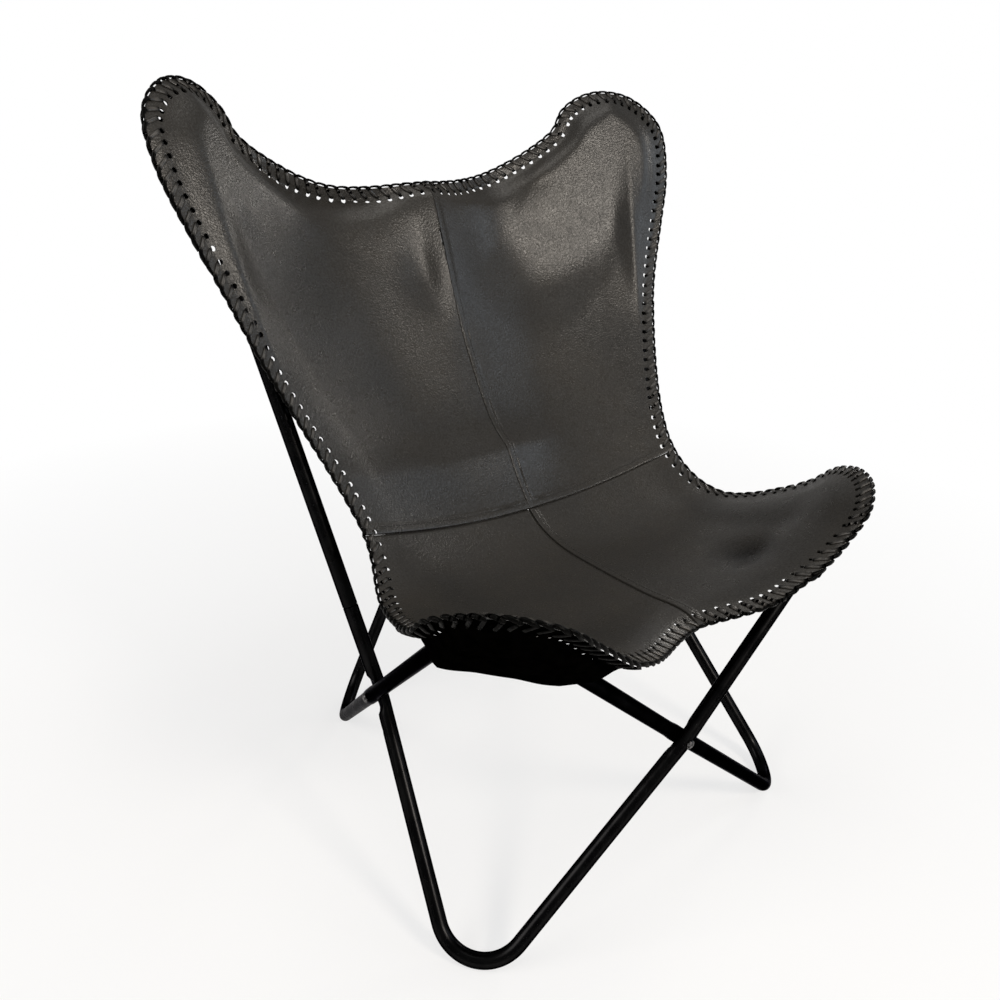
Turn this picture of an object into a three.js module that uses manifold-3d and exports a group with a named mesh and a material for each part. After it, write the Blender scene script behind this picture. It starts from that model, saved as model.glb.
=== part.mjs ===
// Butterfly sling chair: a four-panel leather sling laced along its edge, hung by four ear pockets
// on two riveted tube hoops with plug-in back loops.
// Millimetres, +Z up, the sitter faces -Y. Points are written for the chair's right half (+X).
import * as THREE from 'three';
import { mergeVertices } from 'three/addons/utils/BufferGeometryUtils.js';
import Module from 'manifold-3d';

// Driving dimensions of the frame
const tubeDiameter = 18;
const frontFootHalfWidth = 256;
const frontFootDepth = -261;
const backFootHalfWidth = 162;
const backFootDepth = 210;
const footBendRadius = 53;
const footFlat = 0.5;
const frontCrossing = { depth: -296, height: 220 };
const backCrossing = { depth: 250, height: 279 };
const sideCrossing = { halfWidth: 246, depth: -30, height: 221 };
const crossingBendRadius = 90;
const crossingPress = 3.4;
const pressRamp = 16;
const pressSpread = 0.1;
const frontLoopTip = { halfWidth: 272, depth: -276, height: 452 };
const backLoopTip = { halfWidth: 309, depth: 243, height: 848 };
const loopBendRadius = 40;
const socketRise = 112;
const socketDepth = 40;
const socketWall = 1.8;
const tubeChamfer = 0.9;
const rivetShankDiameter = 5;
const rivetHeadDiameter = 11;
const rivetHeadHeight = 2.4;

// Driving dimensions of the sling
const leatherThickness = 3;
const hemWidth = 9;
const hemRise = 1.4;
const topCentre = { depth: 253, height: 768 };
const seamCross = { depth: 2, height: 399 };
const frontCentre = { depth: -291, height: 362 };
const waist = { halfWidth: 250, depth: -19, height: 430 };
const backEar = { margin: 42, skew: 12, spread: 6, twist: 12 };
const frontEar = { margin: 38, skew: -6, spread: 14, twist: 0 };
const backEarAngles = [-85, -55, -25, 0, 25, 55, 92];
const frontEarAngles = [80, 50, 22, 0, -22, -50, -80];
const backPocket = { innerDepth: 130, outerDepth: 240 };
const frontPocket = { innerDepth: 165, outerDepth: 180 };
const pocketInset = 1.2;
const edgeTurn = 100;
const topEdgeDip = { share: 0.55, back: 18, down: 30 };
const sideEdgeBow = { share: 0.5, out: 5, back: 30 };
const waistEdgeDip = { share: 0.4, down: 42 };
const frontEdgeDip = { share: 0.5, front: 16, down: 15 };
const backHollows = [{ share: 0.3, depth: 24 }, { share: 0.72, depth: 19 }];
const seatHollows = [
  { share: 0.12, depth: 16.5 },
  { share: 0.3, depth: 22 },
  { share: 0.68, depth: 6.5 },
  { share: 0.94, depth: -11 },
];
const foldHeight = 9;
const foldRise = 70;
const foldHalfLength = 16;
const foldHalfWidth = 75;
const laceRadius = 2.6;

// Clearances
const clearance = 0.3;
const wrapAllowance = 0.8;
const insideSlack = 0.3;
const pocketGap = 0.5;

// Counts of facets
const tubeSides = 14;
const bendSteps = 10;
const kinkSteps = 4;
const laceSides = 6;
const columns = 20;
const backRows = 20;
const seatRows = 16;
const pocketRows = 9;
const pocketColumns = 10;
const latheSteps = 12;
const domeSteps = 4;
const lineSamples = 160;
const pathSamples = 2000;
const columnCrowding = 1.4;
const sharpTurn = 0.6;
const ringSpacing = 1.2;
const rampShares = [0, 0.4, 0.75, 1];
const steadyArea = 4;

const tubeRadius = tubeDiameter / 2;
const wasm = await Module();
wasm.setup();

const vec = (x, y, z) => new THREE.Vector3(x, y, z);
const place = (origin, ...terms) => (
  terms.reduce((sum, [axis, by]) => sum.addScaledVector(axis, by), origin.clone()));
const unit = (from, to) => to.clone().sub(from).normalize();
const mirror = (p) => vec(-p.x, p.y, p.z);
const smooth = (low, high, value) => THREE.MathUtils.smoothstep(value, low, high);
const mix = (a, b, t) => a.clone().lerp(b, t);
const upTo = (count) => Array.from({ length: count }, (_, k) => k);

const coat = new THREE.MeshStandardMaterial({ color: 0x0d0d0e, roughness: 0.34, metalness: 0.55 });
const bright = new THREE.MeshStandardMaterial({ color: 0x55565a, roughness: 0.3, metalness: 0.9 });
const leather = new THREE.MeshStandardMaterial({ color: 0x2b2927, roughness: 0.48, metalness: 0 });
const laceLeather = new THREE.MeshStandardMaterial({ color: 0x171615, roughness: 0.5, metalness: 0 });

// Solids

function closedGeometry(points, triangles) {
  let volume = 0;
  for (const [a, b, c] of triangles) {
    volume += points[a].dot(points[b].clone().cross(points[c]));
  }
  const index = triangles.flatMap(([a, b, c]) => (volume > 0 ? [a, b, c] : [a, c, b]));
  const geometry = new THREE.BufferGeometry();
  geometry.setAttribute('position', new THREE.Float32BufferAttribute(points.flatMap((p) => p.toArray()), 3));
  geometry.setIndex(index);
  geometry.computeVertexNormals();
  return geometry;
}

function toManifold(geometry) {
  const bare = geometry.clone();
  bare.deleteAttribute('normal');
  bare.deleteAttribute('uv');
  const merged = mergeVertices(bare, 1e-4);
  const vertProperties = new Float32Array(merged.getAttribute('position').array);
  const triVerts = new Uint32Array(merged.index.array);
  return new wasm.Manifold(new wasm.Mesh({ numProp: 3, vertProperties, triVerts }));
}

function fromManifold(solid) {
  const mesh = solid.getMesh();
  const geometry = new THREE.BufferGeometry();
  geometry.setAttribute('position', new THREE.BufferAttribute(new Float32Array(mesh.vertProperties), 3));
  geometry.setIndex(new THREE.BufferAttribute(new Uint32Array(mesh.triVerts), 1));
  geometry.computeVertexNormals();
  return geometry;
}

function cutAway(geometry, tools) {
  return fromManifold(tools.reduce((solid, tool) => solid.subtract(toManifold(tool)), toManifold(geometry)));
}

// Rings of points joined into one closed skin
function skinRings(rings) {
  const sides = rings[0].length;
  const points = rings.flat();
  const triangles = [];
  for (let ring = 0; ring < rings.length - 1; ring += 1) {
    for (let k = 0; k < sides; k += 1) {
      const a = ring * sides + k;
      const b = ring * sides + ((k + 1) % sides);
      triangles.push([a, b, b + sides], [a, b + sides, a + sides]);
    }
  }
  const last = (rings.length - 1) * sides;
  for (let k = 1; k < sides - 1; k += 1) {
    triangles.push([0, k + 1, k], [last, last + k, last + k + 1]);
  }
  return closedGeometry(points, triangles);
}

// A sheet with a thickness: two copies of one triangulated surface and a rim between them
function sheetSolid(front, back, triangles, boundary) {
  const shift = front.length;
  const faces = triangles.flatMap(([a, b, c]) => [[a, b, c], [a + shift, c + shift, b + shift]]);
  boundary.forEach((a, k) => {
    const b = boundary[(k + 1) % boundary.length];
    faces.push([b, a, a + shift], [b, a + shift, b + shift]);
  });
  return closedGeometry([...front, ...back], faces);
}

// Tube paths

class ArcCurve extends THREE.Curve {
  constructor(centre, start, end) {
    super();
    this.centre = centre;
    this.from = start.clone().sub(centre);
    this.sweep = this.from.angleTo(end.clone().sub(centre));
    this.axis = this.from.clone().cross(end.clone().sub(centre)).normalize();
  }

  getPoint(t) {
    return this.from.clone().applyAxisAngle(this.axis, this.sweep * t).add(this.centre);
  }
}

// The bend whose outermost point is the tip, with straight legs to two crossings
function bendBetween(first, tip, second, radius, outward) {
  const normal = first.clone().sub(tip).cross(second.clone().sub(tip)).normalize();
  const out = outward.clone().addScaledVector(normal, -outward.dot(normal)).normalize();
  const centre = place(tip, [out, -radius]);
  const tangentPoint = (point) => {
    const toPoint = unit(centre, point);
    const angle = Math.acos(radius / centre.distanceTo(point));
    const turns = [angle, -angle].map((a) => toPoint.clone().applyAxisAngle(normal, a));
    const best = turns[0].dot(out) > turns[1].dot(out) ? turns[0] : turns[1];
    return place(centre, [best, radius]);
  };
  return { start: tangentPoint(first), tip, end: tangentPoint(second), centre };
}

const bisector = (first, tip, second) => unit(first, tip).add(unit(second, tip)).normalize();

function addBend(path, bend) {
  path.add(new ArcCurve(bend.centre, bend.start, bend.tip));
  path.add(new ArcCurve(bend.centre, bend.tip, bend.end));
}

// A tube's slight bend where it passes a crossing
function kinkAt(before, corner, after, radius) {
  const inTo = unit(corner, before);
  const onTo = unit(corner, after);
  const half = inTo.angleTo(onTo) / 2;
  const reach = radius / Math.tan(half);
  const centre = place(corner, [inTo.clone().add(onTo).normalize(), radius / Math.sin(half)]);
  return { start: place(corner, [inTo, reach]), end: place(corner, [onTo, reach]), centre };
}

// The crossings: each tube's own point, the outer tube shifted out and the inner one in
const crossingPoints = {
  front: vec(0, frontCrossing.depth, frontCrossing.height),
  back: vec(0, backCrossing.depth, backCrossing.height),
  left: vec(-sideCrossing.halfWidth, sideCrossing.depth, sideCrossing.height),
  right: vec(sideCrossing.halfWidth, sideCrossing.depth, sideCrossing.height),
};
const footTip = (half, depth) => vec(half, depth, tubeRadius - footFlat);
const feet = {
  frontLeft: footTip(-frontFootHalfWidth, frontFootDepth),
  frontRight: footTip(frontFootHalfWidth, frontFootDepth),
  backLeft: footTip(-backFootHalfWidth, backFootDepth),
  backRight: footTip(backFootHalfWidth, backFootDepth),
};
const tipPoint = (tip, sign) => vec(sign * tip.halfWidth, tip.depth, tip.height);

function crossingFrame(name, tubes) {
  const directions = tubes.map(([from, to]) => unit(from, to));
  const outward = directions[0].clone().cross(directions[1]).normalize();
  const middle = vec(0, 0, crossingPoints[name].z);
  if (outward.dot(crossingPoints[name].clone().sub(middle)) < 0) {
    outward.negate();
  }
  const angle = directions[0].angleTo(directions[1]);
  const reach = (1 + Math.abs(Math.cos(angle))) / Math.sin(angle);
  const flatHalf = tubeRadius * (1 + pressSpread) * reach + clearance;
  return { point: crossingPoints[name], outward, flatHalf };
}

const crossings = {
  front: crossingFrame('front', [
    [feet.frontLeft, tipPoint(frontLoopTip, 1)], [feet.frontRight, tipPoint(frontLoopTip, -1)]]),
  back: crossingFrame('back', [
    [feet.backLeft, tipPoint(backLoopTip, 1)], [feet.backRight, tipPoint(backLoopTip, -1)]]),
  left: crossingFrame('left', [
    [feet.frontLeft, tipPoint(backLoopTip, -1)], [feet.backLeft, tipPoint(frontLoopTip, -1)]]),
  right: crossingFrame('right', [
    [feet.frontRight, tipPoint(backLoopTip, 1)], [feet.backRight, tipPoint(frontLoopTip, 1)]]),
};
const axisShift = tubeRadius - crossingPress;
const tubeAt = (name, layer) => place(crossings[name].point, [crossings[name].outward, layer * axisShift]);

// One hoop with its back loop. The layers say which tube lies outside at each crossing.
function hoopPath(sign, layers) {
  const near = sign < 0 ? 'left' : 'right';
  const far = sign < 0 ? 'right' : 'left';
  const nearFoot = sign < 0 ? feet.frontLeft : feet.frontRight;
  const farFoot = sign < 0 ? feet.backRight : feet.backLeft;
  const knots = {
    near: tubeAt(near, layers.near),
    front: tubeAt('front', layers.front),
    far: tubeAt(far, layers.far),
    back: tubeAt('back', layers.back),
  };
  const down = vec(0, 0, -1);
  const backTip = tipPoint(backLoopTip, sign);
  const frontTip = tipPoint(frontLoopTip, -sign);
  const backLoop = bendBetween(knots.near, backTip, knots.back, loopBendRadius,
    bisector(knots.near, backTip, knots.back));
  const frontLoop = bendBetween(knots.front, frontTip, knots.far, loopBendRadius,
    bisector(knots.front, frontTip, knots.far));
  const nearBend = bendBetween(knots.near, nearFoot, knots.front, footBendRadius, down);
  const farBend = bendBetween(knots.far, farFoot, knots.back, footBendRadius, down);
  const socketNear = place(knots.near, [unit(knots.near, backLoop.start), socketRise]);
  const socketBack = place(knots.back, [unit(knots.back, backLoop.end), socketRise]);

  const path = new THREE.CurvePath();
  const corners = [
    [knots.near, nearBend],
    [knots.front, frontLoop],
    [knots.far, farBend],
    [knots.back, { start: socketBack }],
  ];
  let from = socketNear;
  for (const [corner, bend] of corners) {
    const kink = kinkAt(from, corner, bend.start, crossingBendRadius);
    path.add(new THREE.LineCurve3(from, kink.start));
    path.add(new ArcCurve(kink.centre, kink.start, kink.end));
    path.add(new THREE.LineCurve3(kink.end, bend.start));
    if (bend.end) {
      addBend(path, bend);
    }
    from = bend.end;
  }
  const presses = [[near, layers.near], ['front', layers.front], [far, layers.far], ['back', layers.back]];
  return { path, presses, backLoop, frontLoop, socketNear, socketBack };
}

// Stations along a path: the ends of its straight runs, steps in its bends and rings in each press
function stationsOf(path, presses) {
  const lengths = path.getCurveLengths();
  const stations = [0];
  path.curves.forEach((curve, k) => {
    const start = k ? lengths[k - 1] : 0;
    const turnSteps = curve.sweep > sharpTurn ? bendSteps / 2 + 1 : kinkSteps;
    const steps = curve.isLineCurve3 ? 1 : turnSteps;
    for (let step = 1; step <= steps; step += 1) {
      stations.push(start + (lengths[k] - start) * (step / steps));
    }
  });
  const total = path.getLength();
  const samples = Array.from({ length: pathSamples + 1 }, (_, k) => (k / pathSamples) * total);
  for (const [name] of presses) {
    const { point, flatHalf } = crossings[name];
    const apart = (s) => path.getPoint(s / total).distanceTo(point);
    const middle = samples.reduce((best, s) => (apart(s) < apart(best) ? s : best));
    stations.push(middle);
    for (const share of rampShares) {
      const reach = flatHalf + pressRamp * share;
      stations.push(middle - reach, middle + reach);
    }
  }
  stations.sort((a, b) => a - b);
  const spaced = (s, k) => s - stations[k - 1] > ringSpacing && total - s > ringSpacing;
  return stations.filter((s, k) => k === 0 || s === total || spaced(s, k));
}

// A ring point pressed flat towards the plane between the two tubes of a crossing
function pressPoint(point, axisPoint, direction, presses) {
  for (const [name, layer] of presses) {
    const { point: knot, outward, flatHalf } = crossings[name];
    const along = Math.abs(axisPoint.clone().sub(knot).dot(direction));
    const apart = axisPoint.distanceTo(knot);
    if (apart > flatHalf + pressRamp + tubeDiameter) {
      continue;
    }
    const open = smooth(flatHalf, flatHalf + pressRamp, along);
    const limit = clearance / 2 + open * open * -tubeRadius;
    const height = point.clone().sub(knot).dot(outward) * layer;
    const sideways = outward.clone().cross(direction).normalize();
    const width = point.clone().sub(axisPoint).dot(sideways);
    point.addScaledVector(sideways, width * pressSpread * (1 - open));
    if (height < limit) {
      point.addScaledVector(outward, (limit - height) * layer);
    }
  }
  return point;
}

function ringAt(centre, normal, binormal, radius) {
  return Array.from({ length: tubeSides }, (_, k) => {
    const angle = (k / tubeSides) * Math.PI * 2;
    return place(centre, [normal, Math.cos(angle) * radius], [binormal, Math.sin(angle) * radius]);
  });
}

// Rings of a round tube along a path, with an end list of [distance past the end, radius]
function tubeGeometry(path, presses, startEnds, finishEnds) {
  const total = path.getLength();
  const stations = stationsOf(path, presses);
  let direction = path.getTangent(0);
  const normal = vec(0, 0, 1).cross(direction).normalize();
  const endRings = (ends, centre, along) => ends.map(([distance, radius]) => (
    ringAt(place(centre, [along, distance]), normal, direction.clone().cross(normal), radius)));
  const rings = endRings(startEnds, path.getPoint(0), direction.clone().negate()).reverse();
  for (const station of stations) {
    const next = path.getTangent(station / total);
    normal.applyQuaternion(new THREE.Quaternion().setFromUnitVectors(direction, next)).normalize();
    direction = next;
    const centre = path.getPoint(station / total);
    const ring = ringAt(centre, normal, direction.clone().cross(normal), tubeRadius);
    rings.push(ring.map((point) => pressPoint(point, centre, direction, presses)));
  }
  rings.push(...endRings(finishEnds, path.getPoint(1), direction));
  return skinRings(rings);
}

const boreRadius = tubeRadius - socketWall;
const spigotRadius = boreRadius - clearance;
const socketEnds = [
  [tubeChamfer, tubeRadius - tubeChamfer], [tubeChamfer, boreRadius], [-socketDepth, boreRadius]];
const loopEnds = [
  [tubeChamfer, tubeRadius - tubeChamfer], [tubeChamfer, spigotRadius],
  [socketDepth - clearance, spigotRadius]];

function orientedCylinder(radius, length, centre, axis) {
  const geometry = new THREE.CylinderGeometry(radius, radius, length, latheSteps);
  geometry.applyQuaternion(new THREE.Quaternion().setFromUnitVectors(vec(0, 1, 0), axis));
  return geometry.translate(centre.x, centre.y, centre.z);
}

const floorSize = 4 * (frontFootHalfWidth + backFootDepth);
const floorCut = new THREE.BoxGeometry(floorSize, floorSize, tubeDiameter).translate(0, 0, -tubeRadius);

const hoops = {
  left: hoopPath(-1, { near: -1, front: 1, far: 1, back: -1 }),
  right: hoopPath(1, { near: -1, front: -1, far: 1, back: 1 }),
};

const chair = new THREE.Group();
chair.name = 'butterfly_sling_chair';
const addPiece = (name, geometry, material) => {
  const mesh = new THREE.Mesh(geometry, material);
  mesh.name = name;
  chair.add(mesh);
  return mesh;
};

// Lower hoops: drilled for the rivets and flat under the feet
const rivetHoles = Object.values(crossings).map(({ point, outward }) => (
  orientedCylinder(rivetShankDiameter / 2 + clearance, 4 * tubeDiameter, point, outward)));
for (const [side, hoop] of Object.entries(hoops)) {
  const tube = tubeGeometry(hoop.path, hoop.presses, socketEnds, socketEnds);
  addPiece(`hoop_${side}`, cutAway(tube, [...rivetHoles, floorCut]), coat);
}

// Back loops: straight legs, one bend and a spigot at each end
for (const [side, { backLoop, socketNear, socketBack }] of Object.entries(hoops)) {
  const joint = 2 * tubeChamfer + clearance;
  const nearEnd = place(socketNear, [unit(socketNear, backLoop.start), joint]);
  const backEnd = place(socketBack, [unit(socketBack, backLoop.end), joint]);
  const path = new THREE.CurvePath();
  path.add(new THREE.LineCurve3(nearEnd, backLoop.start));
  addBend(path, backLoop);
  path.add(new THREE.LineCurve3(backLoop.end, backEnd));
  addPiece(`back_loop_${side}`, tubeGeometry(path, [], loopEnds, loopEnds), coat);
}

// Rivets: a shank through both tubes with a domed head on each side
const rivetHalf = axisShift + tubeRadius + clearance;
const dome = Array.from({ length: domeSteps + 1 }, (_, k) => {
  const angle = (k / domeSteps) * Math.PI / 2;
  return [Math.cos(angle) * rivetHeadDiameter / 2, rivetHalf + Math.sin(angle) * rivetHeadHeight];
});
const upper = [[rivetShankDiameter / 2, rivetHalf], ...dome].map(([r, h]) => new THREE.Vector2(r, h));
upper[upper.length - 1].x = 0;
const lower = upper.map((p) => new THREE.Vector2(p.x, -p.y)).reverse();
for (const [name, { point, outward }] of Object.entries(crossings)) {
  const rivet = addPiece(`rivet_${name}`, new THREE.LatheGeometry([...lower, ...upper], latheSteps), bright);
  rivet.quaternion.setFromUnitVectors(vec(0, 1, 0), outward);
  rivet.position.copy(point);
}

// The sling's edge

// A point that moves along a polyline by a share of its length
function alongLine(points) {
  const reach = [0];
  points.forEach((p, k) => {
    if (k) {
      reach.push(reach[k - 1] + p.distanceTo(points[k - 1]));
    }
  });
  const total = reach[reach.length - 1];
  const at = (share) => {
    const goal = THREE.MathUtils.clamp(share, 0, 1) * total;
    let k = 1;
    while (k < reach.length - 1 && reach[k] < goal) {
      k += 1;
    }
    return mix(points[k - 1], points[k], (goal - reach[k - 1]) / (reach[k] - reach[k - 1]));
  };
  return { at, reach, length: total };
}

// The flat frame of an ear: its loop's bend centre, and the ways out, sideways and to the sitter
function earFrame(loop, outerLeg, { margin, skew, spread, twist }, turn) {
  const put = turn < 0 ? mirror : (p) => p.clone();
  const centre = put(loop.centre);
  const out = unit(centre, put(loop.tip));
  const inner = put(outerLeg === 'start' ? loop.end : loop.start);
  const outer = put(outerLeg === 'start' ? loop.start : loop.end);
  const side = unit(inner, outer);
  side.addScaledVector(out, -side.dot(out)).normalize();
  const facing = out.clone().cross(side);
  if (facing.x > 0) {
    facing.negate();
  }
  const lean = Math.asin(unit(centre, outer).dot(out));
  const edgeAt = (degrees) => {
    const angle = THREE.MathUtils.degToRad(degrees);
    const sin = Math.sin(angle);
    const reach = loopBendRadius + margin + skew * sin + spread * sin * sin;
    return place(centre, [out, reach * Math.cos(angle)], [side, reach * sin], [facing, -twist * sin]);
  };
  // How far a point lies outside the loop's centre line, seen square to the ear
  const outside = (point) => {
    const from = point.clone().sub(centre);
    const across = from.dot(side);
    const up = from.dot(out);
    if (up > Math.abs(across) * Math.tan(lean)) {
      return Math.hypot(across, up) - loopBendRadius;
    }
    return Math.abs(across) * Math.cos(lean) + up * Math.sin(lean) - loopBendRadius;
  };
  // How far the leather is pushed off the loop's plane by the tube
  const wrap = (point) => {
    const height = tubeRadius + clearance + wrapAllowance;
    const gap = outside(point);
    const slack = insideSlack * smooth(tubeRadius, loopBendRadius, -gap);
    return gap > 0 ? height * (1 - smooth(tubeRadius, margin, gap)) : height * (1 - slack);
  };
  const lift = (point) => point.clone().sub(centre).dot(facing);
  return { edgeAt, facing, wrap, lift };
}

// The right half of the sling's edge, from the top centre round both ears to the front centre
function edgeCurve(backFrame, frontFrame) {
  const top = vec(0, topCentre.depth, topCentre.height);
  const front = vec(0, frontCentre.depth, frontCentre.height);
  const side = vec(waist.halfWidth, waist.depth, waist.height);
  const backArc = backEarAngles.map(backFrame.edgeAt);
  const frontArc = frontEarAngles.map(frontFrame.edgeAt);
  const backTip = backArc[backEarAngles.indexOf(0)];
  const frontTip = frontArc[frontEarAngles.indexOf(0)];
  const topMiddle = mix(top, backArc[0], topEdgeDip.share).add(vec(0, topEdgeDip.back, -topEdgeDip.down));
  const sideMiddle = mix(backArc.at(-1), side, sideEdgeBow.share);
  sideMiddle.add(vec(sideEdgeBow.out, sideEdgeBow.back, 0));
  const waistMiddle = mix(side, frontArc[0], waistEdgeDip.share).add(vec(0, 0, -waistEdgeDip.down));
  const frontMiddle = mix(frontArc.at(-1), front, frontEdgeDip.share);
  frontMiddle.add(vec(0, -frontEdgeDip.front, -frontEdgeDip.down));
  const points = [mirror(topMiddle), top, topMiddle, ...backArc, sideMiddle, side, waistMiddle, ...frontArc,
    frontMiddle, front, mirror(frontMiddle)];
  const curve = new THREE.CatmullRomCurve3(points, false, 'centripetal');
  const span = (from, to) => {
    const first = points.indexOf(from) / (points.length - 1);
    const last = points.indexOf(to) / (points.length - 1);
    const at = (k) => curve.getPoint(first + (last - first) * (k / lineSamples));
    return alongLine(Array.from({ length: lineSamples + 1 }, (_, k) => at(k)));
  };
  return {
    topEdge: span(top, backTip),
    backSide: span(side, backTip),
    seatSide: span(side, frontTip),
    frontEdge: span(front, frontTip),
  };
}

// A centre seam: a straight chord between two ends, drawn down square to it at its hollows
function seamLine(start, end, hollows) {
  const square = unit(start, end).cross(vec(1, 0, 0));
  const middle = hollows.map(({ share, depth }) => place(mix(start, end, share), [square, depth]));
  const curve = new THREE.CatmullRomCurve3([start, ...middle, end], false, 'centripetal');
  return alongLine(curve.getPoints(lineSamples));
}

const crossPoint = vec(0, seamCross.depth, seamCross.height);
const waistPoint = vec(waist.halfWidth, waist.depth, waist.height);
const crossMiddle = vec(waist.halfWidth / 2, seamCross.depth, seamCross.height);
const crossCurve = new THREE.QuadraticBezierCurve3(crossPoint, crossMiddle, waistPoint);
const crossSeam = alongLine(crossCurve.getPoints(lineSamples));
const backSeam = seamLine(crossPoint, vec(0, topCentre.depth, topCentre.height), backHollows);
const seatSeam = seamLine(crossPoint, vec(0, frontCentre.depth, frontCentre.height), seatHollows);
const foldWay = unit(crossPoint, backSeam.at(backHollows[0].share));

// One panel of the right half: a patch between its two seams and its two edges
function panelPatch(seam, edge, sideEdge, ear, pocket, rows, hasFold) {
  const corners = [crossPoint, waistPoint, seam.at(1), edge.at(1)];
  const flat = (u, v) => {
    const across = mix(crossSeam.at(u), edge.at(u), v);
    const along = mix(seam.at(v), sideEdge.at(v), u);
    const twist = mix(mix(corners[0], corners[1], u), mix(corners[2], corners[3], u), v);
    return across.add(along).sub(twist);
  };
  const shares = Array.from({ length: columns + 1 }, (_, k) => 1 - (1 - k / columns) ** columnCrowding);
  const steps = Array.from({ length: rows + 1 }, (_, k) => (1 - Math.cos(Math.PI * k / rows)) / 2);
  // The second column and row stay one hem away from the seams
  const columnAt = (k, v) => {
    const hem = hemWidth / THREE.MathUtils.lerp(crossSeam.length, edge.length, v);
    return k < 2 ? k * hem : hem + (1 - hem) * (shares[k] - shares[1]) / (1 - shares[1]);
  };
  const rowAt = (k, u) => {
    const hem = hemWidth / THREE.MathUtils.lerp(seam.length, sideEdge.length, u);
    return k < 2 ? k * hem : hem + (1 - hem) * (steps[k] - steps[1]) / (1 - steps[1]);
  };
  const grid = [];
  for (let j = 0; j <= rows; j += 1) {
    grid.push([]);
    for (let i = 0; i <= columns; i += 1) {
      const v = j === rows ? 1 : rowAt(j, shares[i]);
      const u = i === columns ? 1 : columnAt(i, v);
      grid[j].push(flat(u, v));
    }
  }
  const normals = gridNormals(grid, ear.facing);
  const lifted = grid.map((row, j) => row.map((point, i) => {
    const normal = normals[j][i];
    const rim = i === columns || j === rows;
    const moved = place(point, [normal, rim ? 0 : foldLift(point, hasFold)]);
    const short = rim ? 0 : Math.max(0, ear.wrap(point) - ear.lift(moved));
    return place(moved, [ear.facing, short]);
  }));
  const inner = alongLine([...grid[rows]].reverse());
  const outer = alongLine(grid.map((row) => row[columns]).reverse());
  const turned = rimNormals(gridNormals(lifted, ear.facing), inner, outer, ear.facing, pocket);
  return { grid, lifted, normals: turned, inner, outer };
}

// Round an ear's pocket the edge is square to the loop's plane, and it turns with the panel farther on
function rimNormals(normals, inner, outer, facing, pocket) {
  const rows = normals.length - 1;
  return normals.map((row, j) => row.map((normal, i) => {
    if (i < columns && j < rows) {
      return normal;
    }
    const past = j === rows
      ? inner.reach[columns - i] - pocket.innerDepth
      : outer.reach[rows - j] - pocket.outerDepth;
    return facing.clone().lerp(normal, smooth(0, edgeTurn, past)).normalize();
  }));
}

// The soft fold across the back just above the cross seam
function foldLift(point, hasFold) {
  if (!hasFold) {
    return 0;
  }
  const rise = point.clone().sub(crossPoint).dot(foldWay);
  const share = Math.exp(-(((rise - foldRise) / foldHalfLength) ** 2));
  return foldHeight * share * Math.exp(-((point.x / foldHalfWidth) ** 2));
}

function gridNormals(grid, facing) {
  const rows = grid.length - 1;
  const cols = grid[0].length - 1;
  return grid.map((row, j) => row.map((_, i) => {
    const across = row[Math.min(i + 1, cols)].clone().sub(row[Math.max(i - 1, 0)]);
    const along = grid[Math.min(j + 1, rows)][i].clone().sub(grid[Math.max(j - 1, 0)][i]);
    const normal = across.cross(along);
    if (normal.dot(facing) < 0) {
      normal.negate();
    }
    normal.addScaledVector(facing, steadyArea);
    if (i === 0) {
      normal.x = 0;
    }
    return normal.normalize();
  }));
}

// The two panels of a half meet square along the cross seam
function shareSeamNormals(back, seat) {
  back.normals[0].forEach((normal, i) => {
    normal.add(seat.normals[0][i]).normalize();
    seat.normals[0][i].copy(normal);
  });
}

// A panel's solid. Its hemmed edges are folded over once, which raises a band along the seam.
function panelSolid(patch, sign, hemColumn, hemRow) {
  const rows = patch.lifted.length - 1;
  const front = [];
  const back = [];
  patch.lifted.forEach((row, j) => row.forEach((point, i) => {
    const normal = patch.normals[j][i];
    const base = place(point, [normal, clearance / 2]);
    if (j === 0) {
      const away = unit(point, patch.lifted[1][i]);
      away.addScaledVector(normal, -away.dot(normal)).normalize();
      base.addScaledVector(away, clearance / 2);
    }
    base.x = Math.max(base.x, clearance / 2);
    const hemmed = (hemColumn && i < 2) || (hemRow && j < 2);
    const face = place(base, [normal, leatherThickness + (hemmed ? hemRise : 0)]);
    face.x = Math.max(face.x, clearance / 2);
    back.push(sign < 0 ? mirror(base) : base);
    front.push(sign < 0 ? mirror(face) : face);
  }));
  const at = (j, i) => j * (columns + 1) + i;
  const triangles = [];
  for (let j = 0; j < rows; j += 1) {
    for (let i = 0; i < columns; i += 1) {
      triangles.push([at(j, i), at(j, i + 1), at(j + 1, i + 1)]);
      triangles.push([at(j, i), at(j + 1, i + 1), at(j + 1, i)]);
    }
  }
  const boundary = [
    ...upTo(columns).map((i) => at(0, i)),
    ...upTo(rows).map((j) => at(j, columns)),
    ...upTo(columns).map((i) => at(rows, columns - i)),
    ...upTo(rows).map((j) => at(rows - j, 0)),
  ];
  return sheetSolid(front, back, triangles, boundary);
}

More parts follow.
